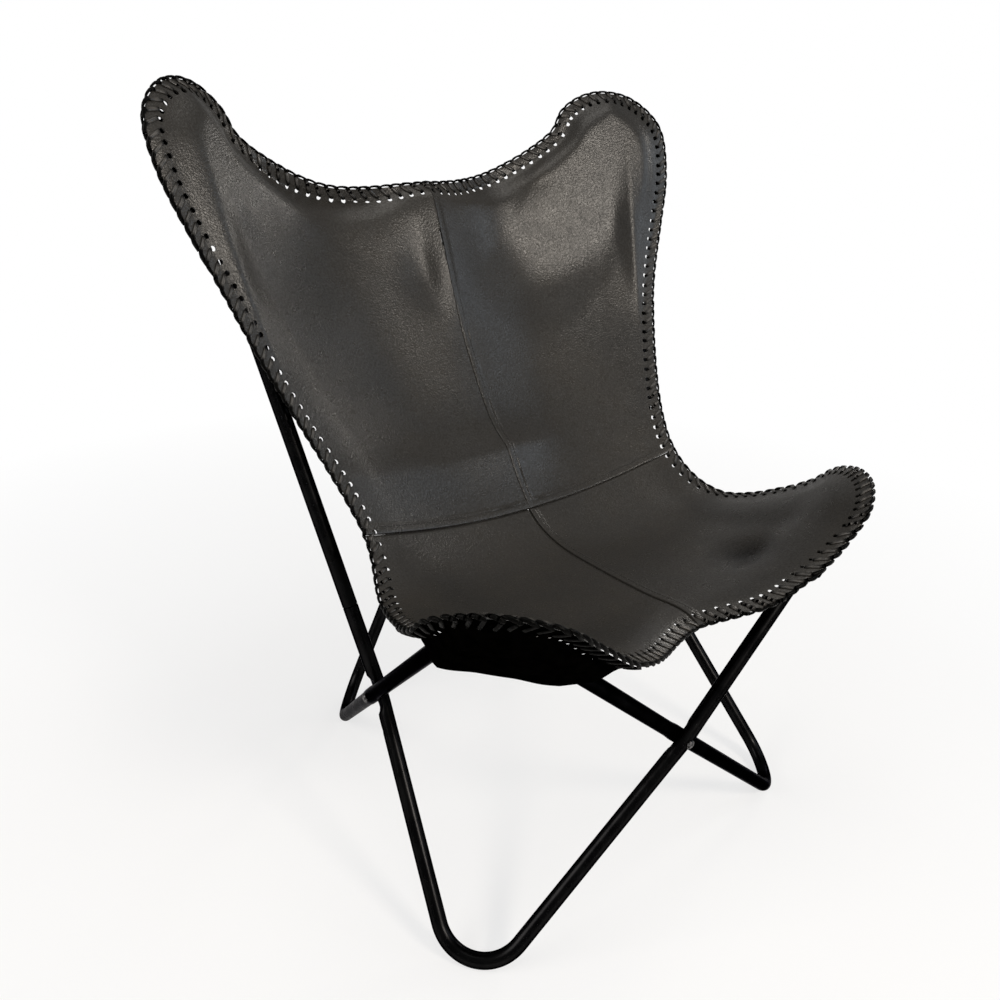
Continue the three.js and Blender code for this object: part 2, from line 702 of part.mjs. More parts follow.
// The pocket behind an ear: chords between the two edges that meet at the ear's tip
function pocketSolid({ inner, outer }, ear, pocket, sign) {
  const points = [inner.at(0)];
  const rim = [true];
  for (let k = 1; k <= pocketRows; k += 1) {
    const innerEnd = inner.at((k / pocketRows) * (pocket.innerDepth / inner.length));
    const outerEnd = outer.at((k / pocketRows) * (pocket.outerDepth / outer.length));
    const inset = pocketInset / innerEnd.distanceTo(outerEnd);
    for (let i = 0; i <= pocketColumns; i += 1) {
      points.push(mix(innerEnd, outerEnd, THREE.MathUtils.lerp(inset, 1 - inset, i / pocketColumns)));
      rim.push(i === 0 || i === pocketColumns);
    }
  }
  const front = points.map((point, k) => {
    const sunk = rim[k] ? pocketGap : Math.max(pocketGap, ear.wrap(point) + ear.lift(point));
    return place(point, [ear.facing, -sunk]);
  });
  const back = front.map((point) => place(point, [ear.facing, -leatherThickness]));
  const put = (p) => (sign < 0 ? mirror(p) : p);
  const at = (k, i) => 1 + (k - 1) * (pocketColumns + 1) + i;
  const triangles = [];
  for (let i = 0; i < pocketColumns; i += 1) {
    triangles.push([0, at(1, i + 1), at(1, i)]);
    for (let k = 1; k < pocketRows; k += 1) {
      triangles.push([at(k, i), at(k + 1, i + 1), at(k + 1, i)]);
      triangles.push([at(k, i), at(k, i + 1), at(k + 1, i + 1)]);
    }
  }
  const boundary = [
    0,
    ...upTo(pocketRows - 1).map((k) => at(k + 1, pocketColumns)),
    ...upTo(pocketColumns + 1).map((i) => at(pocketRows, pocketColumns - i)),
    ...upTo(pocketRows - 1).map((k) => at(pocketRows - 1 - k, 0)),
  ];
  return sheetSolid(front.map(put), back.map(put), triangles, boundary);
}

// The edge of a patch: its row along the top or front, or its column along the side
function rimOf(patch, lengthwise) {
  const rows = patch.grid.length - 1;
  if (lengthwise) {
    return patch.grid.map((row, j) => ({ point: row[columns], normal: patch.normals[j][columns] }));
  }
  return patch.grid[rows].map((point, i) => ({ point, normal: patch.normals[rows][i] }));
}

const mirrorRim = (rim) => (
  rim.map(({ point, normal }) => ({ point: mirror(point), normal: mirror(normal) })));

// The lacing's roll along an edge, just outside it
function laceRoll(rim) {
  const centroid = rim.reduce((sum, { point }) => sum.addScaledVector(point, 1 / rim.length), vec(0, 0, 0));
  const frames = rim.map(({ point, normal }, k) => {
    const before = rim[Math.max(k - 1, 0)].point;
    const after = rim[Math.min(k + 1, rim.length - 1)].point;
    const direction = unit(before, after);
    return { point, direction, outward: direction.clone().cross(normal).normalize() };
  });
  const lean = frames.reduce((sum, { outward }) => sum + outward.dot(unit(crossPoint, centroid)), 0);
  const rings = frames.map(({ point, direction, outward }, k) => {
    const away = outward.clone().multiplyScalar(Math.sign(lean));
    const up = away.clone().cross(direction).normalize();
    const trim = k === 0 ? clearance : k === rim.length - 1 ? -clearance : 0;
    const centre = place(point, [away, laceRadius + clearance], [direction, trim]);
    return Array.from({ length: laceSides }, (_, side) => {
      const angle = (side / laceSides) * Math.PI * 2;
      return place(centre, [away, Math.cos(angle) * laceRadius], [up, Math.sin(angle) * laceRadius]);
    });
  });
  return skinRings(rings);
}

const halves = {};
for (const [side, sign] of [['left', -1], ['right', 1]]) {
  const other = sign < 0 ? 'right' : 'left';
  const backFrame = earFrame(hoops[side].backLoop, 'start', backEar, sign);
  const frontFrame = earFrame(hoops[other].frontLoop, 'end', frontEar, sign);
  const edges = edgeCurve(backFrame, frontFrame);
  const back = panelPatch(
    backSeam, edges.topEdge, edges.backSide, backFrame, backPocket, backRows, true);
  const seat = panelPatch(
    seatSeam, edges.frontEdge, edges.seatSide, frontFrame, frontPocket, seatRows, false);
  shareSeamNormals(back, seat);
  addPiece(`panel_back_${side}`, panelSolid(back, sign, sign > 0, true), leather);
  addPiece(`panel_seat_${side}`, panelSolid(seat, sign, sign > 0, false), leather);
  addPiece(`pocket_back_${side}`, pocketSolid(back, backFrame, backPocket, sign), leather);
  addPiece(`pocket_front_${side}`, pocketSolid(seat, frontFrame, frontPocket, sign), leather);
  halves[side] = { back, seat };
}

for (const [name, patch] of [['top', 'back'], ['front', 'seat']]) {
  const rightRim = rimOf(halves.right[patch], false);
  const leftRim = mirrorRim(rimOf(halves.left[patch], false));
  addPiece(`lacing_${name}`, laceRoll([...leftRim.reverse(), ...rightRim.slice(1)]), laceLeather);
}
for (const [side, { back, seat }] of Object.entries(halves)) {
  const rim = [...rimOf(back, true).reverse(), ...rimOf(seat, true).slice(1)];
  addPiece(`lacing_${side}`, laceRoll(side === 'left' ? mirrorRim(rim) : rim), laceLeather);
}

// The origin is on the floor under the middle of the chair's box
const box = new THREE.Box3().setFromObject(chair, true);
chair.position.set(0, -(box.min.y + box.max.y) / 2, 0);
chair.updateMatrixWorld(true);

export default chair;
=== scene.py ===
import math

import bmesh
import bpy
import numpy as np
from mathutils import Matrix, Vector
from mathutils.bvhtree import BVHTree


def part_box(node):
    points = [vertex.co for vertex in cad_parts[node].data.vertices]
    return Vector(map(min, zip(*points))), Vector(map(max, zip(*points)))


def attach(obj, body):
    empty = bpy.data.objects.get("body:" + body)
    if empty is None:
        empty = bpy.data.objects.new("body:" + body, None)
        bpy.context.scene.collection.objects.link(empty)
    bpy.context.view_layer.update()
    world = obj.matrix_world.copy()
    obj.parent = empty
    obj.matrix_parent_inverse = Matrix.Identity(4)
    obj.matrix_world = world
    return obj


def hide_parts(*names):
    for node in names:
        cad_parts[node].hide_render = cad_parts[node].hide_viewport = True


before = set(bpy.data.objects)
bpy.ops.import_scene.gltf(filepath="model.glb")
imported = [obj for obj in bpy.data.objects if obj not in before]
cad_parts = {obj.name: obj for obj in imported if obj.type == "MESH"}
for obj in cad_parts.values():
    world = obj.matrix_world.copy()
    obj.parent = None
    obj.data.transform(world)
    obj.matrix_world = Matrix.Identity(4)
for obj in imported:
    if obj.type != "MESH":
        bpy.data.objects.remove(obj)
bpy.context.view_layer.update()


# Points and lines

def vec(x, y, z):
    return np.array((x, y, z), float)


def unit(v):
    return v / np.linalg.norm(v, axis=-1, keepdims=True)


def mix(a, b, t):
    return a + (b - a) * t


def smooth(low, high, value):
    t = np.clip((value - low) / (high - low), 0, 1)
    return t * t * (3 - 2 * t)


def mirrored(points):
    return points * vec(-1, 1, 1)


def turnAbout(v, axis, angle):
    cos, sin = math.cos(angle), math.sin(angle)
    return v * cos + np.cross(axis, v) * sin + axis * (axis @ v) * (1 - cos)


def cosSin(degrees):
    return math.cos(math.radians(degrees)), math.sin(math.radians(degrees))


def straight(start, end, step):
    count = max(2, math.ceil(np.linalg.norm(end - start) / step))
    return [mix(start, end, k / count) for k in range(1, count + 1)]


def arc(centre, start, end, step):
    first, last = start - centre, end - centre
    axis = unit(np.cross(first, last))
    sweep = math.acos(np.clip(unit(first) @ unit(last), -1, 1))
    count = max(3, math.ceil(sweep * np.linalg.norm(first) / step))
    return [centre + turnAbout(first, axis, sweep * k / count) for k in range(1, count + 1)]


def lineOf(points):
    points = np.asarray(points)
    steps = np.linalg.norm(np.diff(points, axis=0), axis=1)
    reach = np.concatenate(([0], np.cumsum(steps)))
    return {"points": points, "reach": reach, "length": reach[-1]}


def lookUp(place, places, values):
    return np.stack([np.interp(place, places, values[:, k]) for k in range(3)], -1)


def alongLine(line, share):
    return lookUp(np.clip(share, 0, 1) * line["length"], line["reach"], line["points"])


def spotAndWay(line, reach, look):
    spot, ahead, behind = (alongLine(line, (reach + shift) / line["length"]) for shift in (0, look, -look))
    return spot, unit(ahead - behind)


def splineSpans(points, count):
    ends = [2 * points[0] - points[1], *points, 2 * points[-1] - points[-2]]
    t = np.linspace(0, 1, count + 1)[:, None]
    spans = []
    for a, b, c, d in zip(ends, ends[1:], ends[2:], ends[3:]):
        da, db, dc = (math.sqrt(np.linalg.norm(q - p)) for p, q in ((a, b), (b, c), (c, d)))
        leave = ((b - a) / da - (c - a) / (da + db) + (c - b) / db) * db
        reach = ((c - b) / db - (d - b) / (db + dc) + (d - c) / dc) * db
        square, cube = 3 * (c - b) - 2 * leave - reach, 2 * (b - c) + leave + reach
        spans.append(b + leave * t + square * t**2 + cube * t**3)
    return spans


def joinSpans(spans):
    return lineOf(np.concatenate([spans[0], *(s[1:] for s in spans[1:])]))


# Pieces

weld = 1e-6  # points closer than this are one


def placed(name, data):
    piece = bpy.data.objects.new(name, data)
    bpy.context.scene.collection.objects.link(piece)
    return piece


def addPiece(name, mesh, material, slot, *nodes):
    piece = placed(name, mesh)
    mesh.materials.clear()
    mesh.materials.append(material)
    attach(piece, "root")
    if nodes:
        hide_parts(*nodes)
    return piece


def meshFrom(bm, name, sharpDegrees=40):
    bmesh.ops.recalc_face_normals(bm, faces=bm.faces[:])
    for face in bm.faces:
        face.smooth = True
    mesh = bpy.data.meshes.new(name)
    bm.to_mesh(mesh)
    bm.free()
    mesh.set_sharp_from_angle(angle=math.radians(sharpDegrees))
    return mesh


def spun(profile, steps):
    bm = bmesh.new()
    verts = [bm.verts.new((r, 0, h)) for r, h in profile]
    edges = [bm.edges.new(pair) for pair in zip(verts, verts[1:])]
    bmesh.ops.spin(bm, geom=verts + edges, cent=(0, 0, 0), axis=(0, 0, 1), angle=2 * math.pi, steps=steps,
                   use_merge=True)
    bmesh.ops.remove_doubles(bm, verts=bm.verts[:], dist=weld)
    return bm


# Materials

def newTree(name):
    material = bpy.data.materials.new(name)
    material.use_nodes = True
    return material, material.node_tree, material.node_tree.nodes["Principled BSDF"]


def feed(tree, node, values):
    for key, value in values.items():
        if isinstance(value, bpy.types.NodeSocket):
            tree.links.new(value, node.inputs[key])
        else:
            node.inputs[key].default_value = value


def addNode(tree, kind, values, **settings):
    node = tree.nodes.new("ShaderNode" + kind)
    for key, setting in settings.items():
        setattr(node, key, setting)
    feed(tree, node, values)
    return node


def ownPlace(tree):
    place = tree.nodes.get("place") or addNode(tree, "TexCoord", {}, name="place")
    return place.outputs["Object"]


def objectNoise(tree, scale, detail, roughness=0.5):
    values = {"Vector": ownPlace(tree), "Scale": scale, "Detail": detail, "Roughness": roughness}
    return addNode(tree, "TexNoise", values).outputs["Fac"]


def objectCells(tree, scale):
    return addNode(tree, "TexVoronoi", {"Vector": ownPlace(tree), "Scale": scale}).outputs["Distance"]


def remap(tree, source, low, high, toLow, toHigh):
    values = {"Value": source, "From Min": low, "From Max": high, "To Min": toLow, "To Max": toHigh}
    return addNode(tree, "MapRange", values).outputs["Result"]


def blendColours(tree, factor, *colours):
    first, second = (c if isinstance(c, bpy.types.NodeSocket) else (*c, 1) for c in colours)
    node = addNode(tree, "Mix", {0: factor, 6: first, 7: second}, data_type="RGBA")  # 6, 7, 2: colour sockets
    return node.outputs[2]


def bumped(tree, heights, strength, distance):
    before = {}
    for height, share in heights:
        values = {"Height": height, "Strength": strength * share, "Distance": distance, **before}
        before = {"Normal": addNode(tree, "Bump", values).outputs["Normal"]}
    return before


noiseSpan = (0.3, 0.7)  # the usual reach of a noise value
leatherLook = {  # noises: scale, detail, roughness; blends: low, high, what they become
    "deep": (0.0228, 0.0219, 0.0206), "worn": (0.031, 0.0284, 0.0248), "speck": (0.12, 0.11, 0.1),
    "clouds": (6, 4, 0.55), "cloudBlend": (0.35, 0.68, 0, 1),
    "mottle": (60, 3), "mottleBlend": (0.4, 0.75, 0, 0.45),
    "speckScale": 70, "speckBlend": (0.03, 0.05, 0.5, 0),
    "pebble": (400, 1), "roughness": (0.26, 0.32), "specular": (0.18, 0.42),
    "grainScale": 450, "pores": (1300, 2), "poreShare": 0.7, "bump": (0.5, 0.0004),
    "tone": {"back": 1, "seat": 1.02},
}
earPaintedShade = {  # painted shade: the deep shade in the front right ear, painted into the seat leather's colour
    "centre": (0.152, -0.213, 0.388), "reach": (0.012, 0.056),
    "shade": 0.92, "colour": (0.0045, 0.004, 0.0036),
}


def leatherMaterial(part, paintedShade=None):
    look = leatherLook
    tone = look["tone"][part]
    deep, worn, speck = ([c * tone for c in look[key]] for key in ("deep", "worn", "speck"))
    material, tree, bsdf = newTree(f"{part}_leather")
    clouds, mottle = objectNoise(tree, *look["clouds"]), objectNoise(tree, *look["mottle"])
    pebble, pores = objectNoise(tree, *look["pebble"]), objectNoise(tree, *look["pores"])
    specks, grain = objectCells(tree, look["speckScale"]), objectCells(tree, look["grainScale"])
    colour = blendColours(tree, remap(tree, clouds, *look["cloudBlend"]), deep, worn)
    colour = blendColours(tree, remap(tree, mottle, *look["mottleBlend"]), colour, deep)
    colour = blendColours(tree, remap(tree, specks, *look["speckBlend"]), colour, speck)
    # painted shade: the colour darkens towards a fixed spot in the front right ear
    if paintedShade:
        ends = {0: ownPlace(tree), 1: paintedShade["centre"]}
        away = addNode(tree, "VectorMath", ends, operation="DISTANCE").outputs["Value"]
        shade = remap(tree, away, *paintedShade["reach"], paintedShade["shade"], 0)
        colour = blendColours(tree, shade, colour, paintedShade["colour"])
    feed(tree, bsdf, {
        "Base Color": colour, "Roughness": remap(tree, mottle, *noiseSpan, *look["roughness"]),
        "Specular IOR Level": remap(tree, pebble, *noiseSpan, *look["specular"]),
        **bumped(tree, ((grain, 1), (pores, look["poreShare"])), *look["bump"]),
    })
    return material


# the pockets' colour is black suede with painted shade: near black so that they read as shaded under the ears
suedeAndPaintedShadeLook = {
    "dark": (0.0003, 0.0003, 0.0002), "light": (0.0009, 0.0008, 0.0007),
    "cloud": (90, 3), "blend": (0.35, 0.65, 0, 1), "roughness": (0.8, 0.95),
    "sockets": {"Specular IOR Level": 0.0}, "relief": (1500, 2), "bump": (0.3, 0.0004),
}
# the lace's "edge" colour is painted shade, near black on the strap parts that the "arch" attribute marks
laceLook = {
    "dark": (0.026, 0.0245, 0.0225), "light": (0.06, 0.055, 0.049), "edge": (0.001, 0.001, 0.0009),
    "cloud": (180, 3), "blend": (0.4, 0.7, 0, 1), "roughness": (0.3, 0.42), "edgeSpecular": (0.5, 0.04),
    "relief": (1400, 2), "bump": (0.25, 0.0003),
}
threadLook = {
    "dark": (0.005, 0.005, 0.005), "light": (0.016, 0.0155, 0.015),
    "cloud": (900, 1), "blend": (0.4, 0.6, 0, 1), "roughness": (0.6, 0.75),
}
coatLook = {
    "dark": (0.006, 0.006, 0.0064), "light": (0.011, 0.011, 0.0114),
    "cloud": (40, 3), "blend": (0.35, 0.65, 0, 1), "roughness": (0.24, 0.32),
    "sockets": {"Metallic": 1, "Specular Tint": (0.25, 0.25, 0.27, 1)},
    "relief": (420, 1), "bump": (0.05, 0.0003),
}
rivetLook = {
    "dark": (0.012, 0.012, 0.013), "light": (0.16, 0.16, 0.165),
    "cloud": (260, 4), "blend": (0.42, 0.6, 0, 1), "roughness": (0.28, 0.45),
    "sockets": {"Metallic": 0.85}, "relief": (260, 4), "bump": (0.1, 0.0002),
}


def mottledMaterial(name, look):
    material, tree, bsdf = newTree(name)
    cloud = objectNoise(tree, *look["cloud"])
    colour = blendColours(tree, remap(tree, cloud, *look["blend"]), look["dark"], look["light"])
    values = {"Roughness": remap(tree, cloud, *noiseSpan, *look["roughness"]), **look.get("sockets", {})}
    # painted shade: the "arch" attribute blends in the near-black "edge" colour and less specular
    if "edge" in look:
        arch = addNode(tree, "Attribute", {}, attribute_name="arch").outputs["Fac"]
        colour = blendColours(tree, arch, colour, look["edge"])
        values["Specular IOR Level"] = remap(tree, arch, 0, 1, *look["edgeSpecular"])
    if "relief" in look:
        relief = objectNoise(tree, *look["relief"])
        values |= bumped(tree, ((relief, 1),), *look["bump"])
    feed(tree, bsdf, {"Base Color": colour, **values})
    return material


leathers = {"back": leatherMaterial("back"), "seat": leatherMaterial("seat", earPaintedShade)}
suedeAndPaintedShade, lace = mottledMaterial("suedeAndPaintedShade", suedeAndPaintedShadeLook), mottledMaterial("lace", laceLook)
thread, coat = mottledMaterial("thread", threadLook), mottledMaterial("coat", coatLook)
rivetMetal = mottledMaterial("rivet", rivetLook)
print("stage: materials")


# Tube frame: two hoops that cross four times, each with a plug-in back loop

tubes = {
    "radius": 0.009, "step": 0.004, "bevel": 11, "clearance": 0.0003, "skinReach": 1.05,
    "frontFoot": (0.256, -0.261), "backFoot": (0.162, 0.210), "footFlat": 0.0005, "footBend": 0.053,
    "front": (0, -0.296, 0.220), "back": (0, 0.250, 0.279), "side": (0.246, -0.030, 0.221),
    "kinkBend": 0.090, "press": 0.0034, "pressRamp": 0.016, "pressSpread": 0.1,
    "frontTip": (0.272, -0.276, 0.452), "backTip": (0.309, 0.243, 0.848), "loopBend": 0.040,
    "socketRise": 0.112, "chamfer": 0.0009, "spigot": 0.0069, "spigotStart": 0.00005,
}
rivetLow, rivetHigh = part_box("rivet_front")
drawnShift = vec(0, (rivetLow.y + rivetHigh.y) / 2 - tubes["front"][1], 0)  # the CAD frame's own centring


def drawn(x, y, z):
    return vec(x, y, z) + drawnShift


def onBothSides(x, y, z):
    return {s: drawn(s * x, y, z) for s in (-1, 1)}


def bendBetween(first, tip, second, radius, outward=None):
    if outward is None:
        outward = unit(unit(tip - first) + unit(tip - second))
    normal = unit(np.cross(first - tip, second - tip))
    out = unit(outward - normal * (outward @ normal))
    centre = tip - out * radius

    def tangentPoint(point):
        away = point - centre
        angle = math.acos(radius / np.linalg.norm(away))
        turns = [turnAbout(unit(away), normal, a) for a in (angle, -angle)]
        return centre + radius * max(turns, key=lambda turn: turn @ out)

    return {"start": tangentPoint(first), "tip": tip, "end": tangentPoint(second), "centre": centre}


def bendArc(bend):
    centre, tip, step = bend["centre"], bend["tip"], tubes["step"]
    return arc(centre, bend["start"], tip, step) + arc(centre, tip, bend["end"], step)


def kinkAt(before, corner, after, radius):
    inTo, onTo = unit(before - corner), unit(after - corner)
    half = math.acos(np.clip(inTo @ onTo, -1, 1)) / 2
    reach = radius / math.tan(half)
    centre = corner + unit(inTo + onTo) * radius / math.sin(half)
    return corner + inTo * reach, corner + onTo * reach, centre


def crossingFrame(point, pairs):
    ways = [unit(end - start) for start, end in pairs]
    outward = unit(np.cross(*ways))
    if outward @ (point - drawn(0, 0, point[2])) < 0:
        outward = -outward
    angle = math.acos(np.clip(ways[0] @ ways[1], -1, 1))
    reach = (1 + abs(math.cos(angle))) / math.sin(angle)
    flatHalf = tubes["radius"] * (1 + tubes["pressSpread"]) * reach + tubes["clearance"]
    return {"point": point, "outward": outward, "flatHalf": flatHalf}


footHeight = tubes["radius"] - tubes["footFlat"]
frontFeet = onBothSides(*tubes["frontFoot"], footHeight)
backFeet = onBothSides(*tubes["backFoot"], footHeight)
frontTips, backTips = onBothSides(*tubes["frontTip"]), onBothSides(*tubes["backTip"])
crossings = {
    "front": crossingFrame(drawn(*tubes["front"]), [(frontFeet[s], frontTips[-s]) for s in (-1, 1)]),
    "back": crossingFrame(drawn(*tubes["back"]), [(backFeet[s], backTips[-s]) for s in (-1, 1)]),
    **{s: crossingFrame(point, [(frontFeet[s], backTips[s]), (backFeet[s], frontTips[s])])
       for s, point in onBothSides(*tubes["side"]).items()},
}
axisShift = tubes["radius"] - tubes["press"]


def tubeAt(name, layer):
    return crossings[name]["point"] + crossings[name]["outward"] * layer * axisShift


def hoopPath(sign, nearLayer, frontLayer, farLayer, backLayer):
    step, loopBend = tubes["step"], tubes["loopBend"]
    near, front = tubeAt(sign, nearLayer), tubeAt("front", frontLayer)
    far, back = tubeAt(-sign, farLayer), tubeAt("back", backLayer)
    backTip, frontTip = backTips[sign], frontTips[-sign]
    backLoop = bendBetween(near, backTip, back, loopBend)
    frontLoop = bendBetween(front, frontTip, far, loopBend)
    nearBend = bendBetween(near, frontFeet[sign], front, tubes["footBend"], vec(0, 0, -1))
    farBend = bendBetween(far, backFeet[-sign], back, tubes["footBend"], vec(0, 0, -1))
    socketNear = near + unit(backLoop["start"] - near) * tubes["socketRise"]
    socketBack = back + unit(backLoop["end"] - back) * tubes["socketRise"]
    points = [socketNear]
    for corner, bend in ((near, nearBend), (front, frontLoop), (far, farBend), (back, {"start": socketBack})):
        start, end, centre = kinkAt(points[-1], corner, bend["start"], tubes["kinkBend"])
        points += straight(points[-1], start, step) + arc(centre, start, end, step)
        points += straight(end, bend["start"], step)
        if "end" in bend:
            points += bendArc(bend)
    presses = ((sign, nearLayer), ("front", frontLayer), (-sign, farLayer), ("back", backLayer))
    return {"points": np.array(points), "presses": presses, "backLoop": backLoop, "frontLoop": frontLoop,
            "sockets": (socketNear, socketBack)}


def tubeMesh(name, points, ends):
    curve = bpy.data.curves.new(name, "CURVE")
    curve.dimensions = "3D"
    curve.bevel_depth, curve.bevel_resolution, curve.use_fill_caps = tubes["radius"], tubes["bevel"], True
    startWay, endWay = unit(points[0] - points[1]), unit(points[-1] - points[-2])
    stations = [(points[0] + startWay * past, radius) for past, radius in reversed(ends)]
    stations += [(p, tubes["radius"]) for p in points]
    stations += [(points[-1] + endWay * past, radius) for past, radius in ends]
    spline = curve.splines.new("POLY")
    spline.points.add(len(stations) - 1)
    for target, (place, radius) in zip(spline.points, stations):
        target.co = (*place, 1)
        target.radius = radius / tubes["radius"]
    holder = placed(name, curve)
    graph = bpy.context.evaluated_depsgraph_get()
    mesh = bpy.data.meshes.new_from_object(holder.evaluated_get(graph))
    bpy.data.objects.remove(holder)
    bpy.data.curves.remove(curve)
    bm = bmesh.new()
    bm.from_mesh(mesh)
    bpy.data.meshes.remove(mesh)
    bmesh.ops.remove_doubles(bm, verts=bm.verts[:], dist=weld)
    return meshFrom(bm, name)


def pressTube(mesh, path, presses):
    flat = np.zeros(len(mesh.vertices) * 3, np.float32)
    mesh.vertices.foreach_get("co", flat)
    points = flat.reshape(-1, 3).astype(float)
    ways = unit(np.gradient(path, axis=0))
    for name, layer in presses:
        knot, outward, flatHalf = (crossings[name][key] for key in ("point", "outward", "flatHalf"))
        reach = flatHalf + tubes["pressRamp"] + 2 * tubes["radius"]
        near = np.flatnonzero(np.linalg.norm(path - knot, axis=1) < reach)
        apart = np.linalg.norm(points[:, None] - path[near][None], axis=2)
        touched = apart.min(axis=1) < tubes["radius"] * tubes["skinReach"]
        nearest = near[apart.argmin(axis=1)[touched]]
        axisPoints, way = path[nearest], ways[nearest]
        along = np.abs(((axisPoints - knot) * way).sum(1))
        opened = smooth(flatHalf, flatHalf + tubes["pressRamp"], along)
        sideways = unit(np.cross(outward, way))
        width = ((points[touched] - axisPoints) * sideways).sum(1)
        moved = points[touched] + sideways * (width * tubes["pressSpread"] * (1 - opened))[:, None]
        height = (points[touched] - knot) @ outward * layer
        limit = tubes["clearance"] / 2 - opened**2 * tubes["radius"]
        points[touched] = moved + np.outer(np.maximum(0, limit - height) * layer, outward)
    points[:, 2] = np.maximum(points[:, 2], 0)  # flat under the feet
    mesh.vertices.foreach_set("co", points.astype(np.float32).ravel())
    mesh.update()


hoops = {-1: hoopPath(-1, -1, 1, 1, -1), 1: hoopPath(1, -1, -1, 1, 1)}
sideNames = {-1: "left", 1: "right"}
tubeEnd = (tubes["chamfer"], tubes["radius"] - tubes["chamfer"])
for sign, hoop in hoops.items():
    name = "hoop_" + sideNames[sign]
    mesh = tubeMesh(name, hoop["points"], [tubeEnd])
    pressTube(mesh, hoop["points"], hoop["presses"])
    addPiece(name + "_tube", mesh, coat, "coat", name)
    loop, joint = hoop["backLoop"], 2 * tubes["chamfer"] + tubes["clearance"]
    legs = [s + unit(loop[end] - s) * joint for s, end in zip(hoop["sockets"], ("start", "end"))]
    points = [legs[0], *straight(legs[0], loop["start"], tubes["step"]), *bendArc(loop)]
    points += straight(loop["end"], legs[1], tubes["step"])
    pasts = (tubes["spigotStart"], tubes["clearance"])
    spigot = [(tubes["chamfer"] + past, tubes["spigot"]) for past in pasts]
    name = "back_loop_" + sideNames[sign]
    addPiece(name + "_tube", tubeMesh(name, np.array(points), [tubeEnd, *spigot]), coat, "coat", name)
print("stage: tubes")


# Rivets: a shank and a domed head on each side of a crossing

rivets = {
    "shank": 0.0025, "head": 0.0055, "dome": 0.0024, "lip": 0.0004, "sunk": 0.0004,
    "steps": 28, "domeSteps": 7, "sharp": 35,
}


def rivetMesh(name, crossing):
    half = axisShift + tubes["radius"] + tubes["clearance"] - rivets["sunk"]
    head, rim = rivets["head"], half + rivets["lip"]
    angles = np.linspace(0, math.pi / 2, rivets["domeSteps"])
    dome = [(head * math.cos(a), rim + rivets["dome"] * math.sin(a)) for a in angles]
    upper = [(rivets["shank"], half), (head, half), *dome[:-1], (0, dome[-1][1])]
    bm = spun([(r, -h) for r, h in reversed(upper)] + upper, rivets["steps"])
    turn = Vector((0, 0, 1)).rotation_difference(Vector(crossing["outward"])).to_matrix()
    bmesh.ops.rotate(bm, verts=bm.verts[:], cent=(0, 0, 0), matrix=turn)
    bmesh.ops.translate(bm, verts=bm.verts[:], vec=Vector(crossing["point"]))
    return meshFrom(bm, name, rivets["sharp"])


for key, crossing in crossings.items():
    name = "rivet_" + sideNames.get(key, key)
    addPiece(name + "_domed", rivetMesh(name, crossing), rivetMetal, "rivet", name)
print("stage: rivets")


# Sling: four leather panels sewn along a centre seam and a cross seam

sling = {
    "leather": 0.003, "clearance": 0.0003, "lineCount": 40, "cells": (110, 130), "crowd": 1.3, "sharp": 50,
    "topCentre": (0.253, 0.768), "seamCross": (-0.0007, 0.3905), "frontCentre": (-0.2955, 0.370),
    "waist": (0.250, -0.019, 0.430),
    "sags": {  # share of the edge, shift in x, y and z
        "top": {-1: (0.55, 0, 0.018, -0.033), 1: (0.55, 0, 0.018, -0.026)},
        "side": {-1: (0.5, -0.002, 0.030, 0), 1: (0.5, -0.005, 0.030, 0)},
        "waist": {-1: (0.4, 0, 0, -0.038), 1: (0.4, 0, 0, -0.046)},
        "front": {-1: (0.32, 0, -0.013, -0.019), 1: (0.5, 0, -0.014, -0.014)},
    },
    "backHollows": ((0.3, 0.024), (0.72, 0.019)),  # share of the seam, height
    "seatHollows": ((0.065, -0.0105), (0.136, -0.0173), (0.25, -0.0212), (0.47, -0.0164), (0.74, -0.006),
                    (0.94, 0.005)),
    "fold": {"height": 0.011, "rise": 0.086, "above": 0.028, "below": 0.042, "width": {-1: 0.20, 1: 0.075},
             "power": 1.5, "aim": 0.3},
    "ridge": {"height": 0.011, "width": 0.028, "from": 0.5, "to": 0.85},
    "ripple": {"height": 0.00012, "seed": 7, "count": 9, "waves": (12, 40)},
    "edgeTurn": 0.1, "softness": 0.008, "rimFade": 0.02, "seamFade": 0.03,
    "rimThin": 0.0012, "rimThinSpan": (0.012, 0.045),
    "dents": {  # centre, width and height, depth
        ("back", -1): ((0.032, 0.222, 0.668), (0.03, 0.05), 0.0055),
        ("seat", 1): ((0.152, -0.213, 0.39), (0.03, 0.03), 0.008),
    },
}
ears = {  # the back ears keep a flat face, the front ears only wrap their loops
    "margin": 0.042, "wrapPower": 1.35, "allowance": 0.0011, "slack": 0.3, "flange": (0.014, 0.058),
    "blend": (-0.15, -0.05), "strip": {"turn": 27, "across": (-0.105, -0.01, 0.04, 0.13)},
    "core": 0.02, "rimFade": 0.012, "seamFade": (0.01, 0.08),
    "back": {
        "skew": {-1: 0.016, 1: 0.015}, "spread": {-1: -0.004, 1: 0.003}, "tip": {-1: -0.008, 1: 0},
        "lift": {-1: 0.25, 1: 0.447}, "drop": 0.008, "flank": {-1: 0.056, 1: 0.037},
        "strip": {-1: (0.04, 0.22), 1: (0.14, 0.30)},
        "angles": (-85, -55, -25, 0, 25, 55, 92), "outerLeg": "start", "pocket": (0.130, 0.240),
    },
    "front": {
        "skew": {-1: -0.014, 1: -0.005}, "spread": 0.014, "tip": -0.004, "lift": 0, "drop": 0,
        "angles": (80, 50, 22, 0, -22, -50, -80), "outerLeg": "end", "pocket": (0.196, 0.151),
    },
}


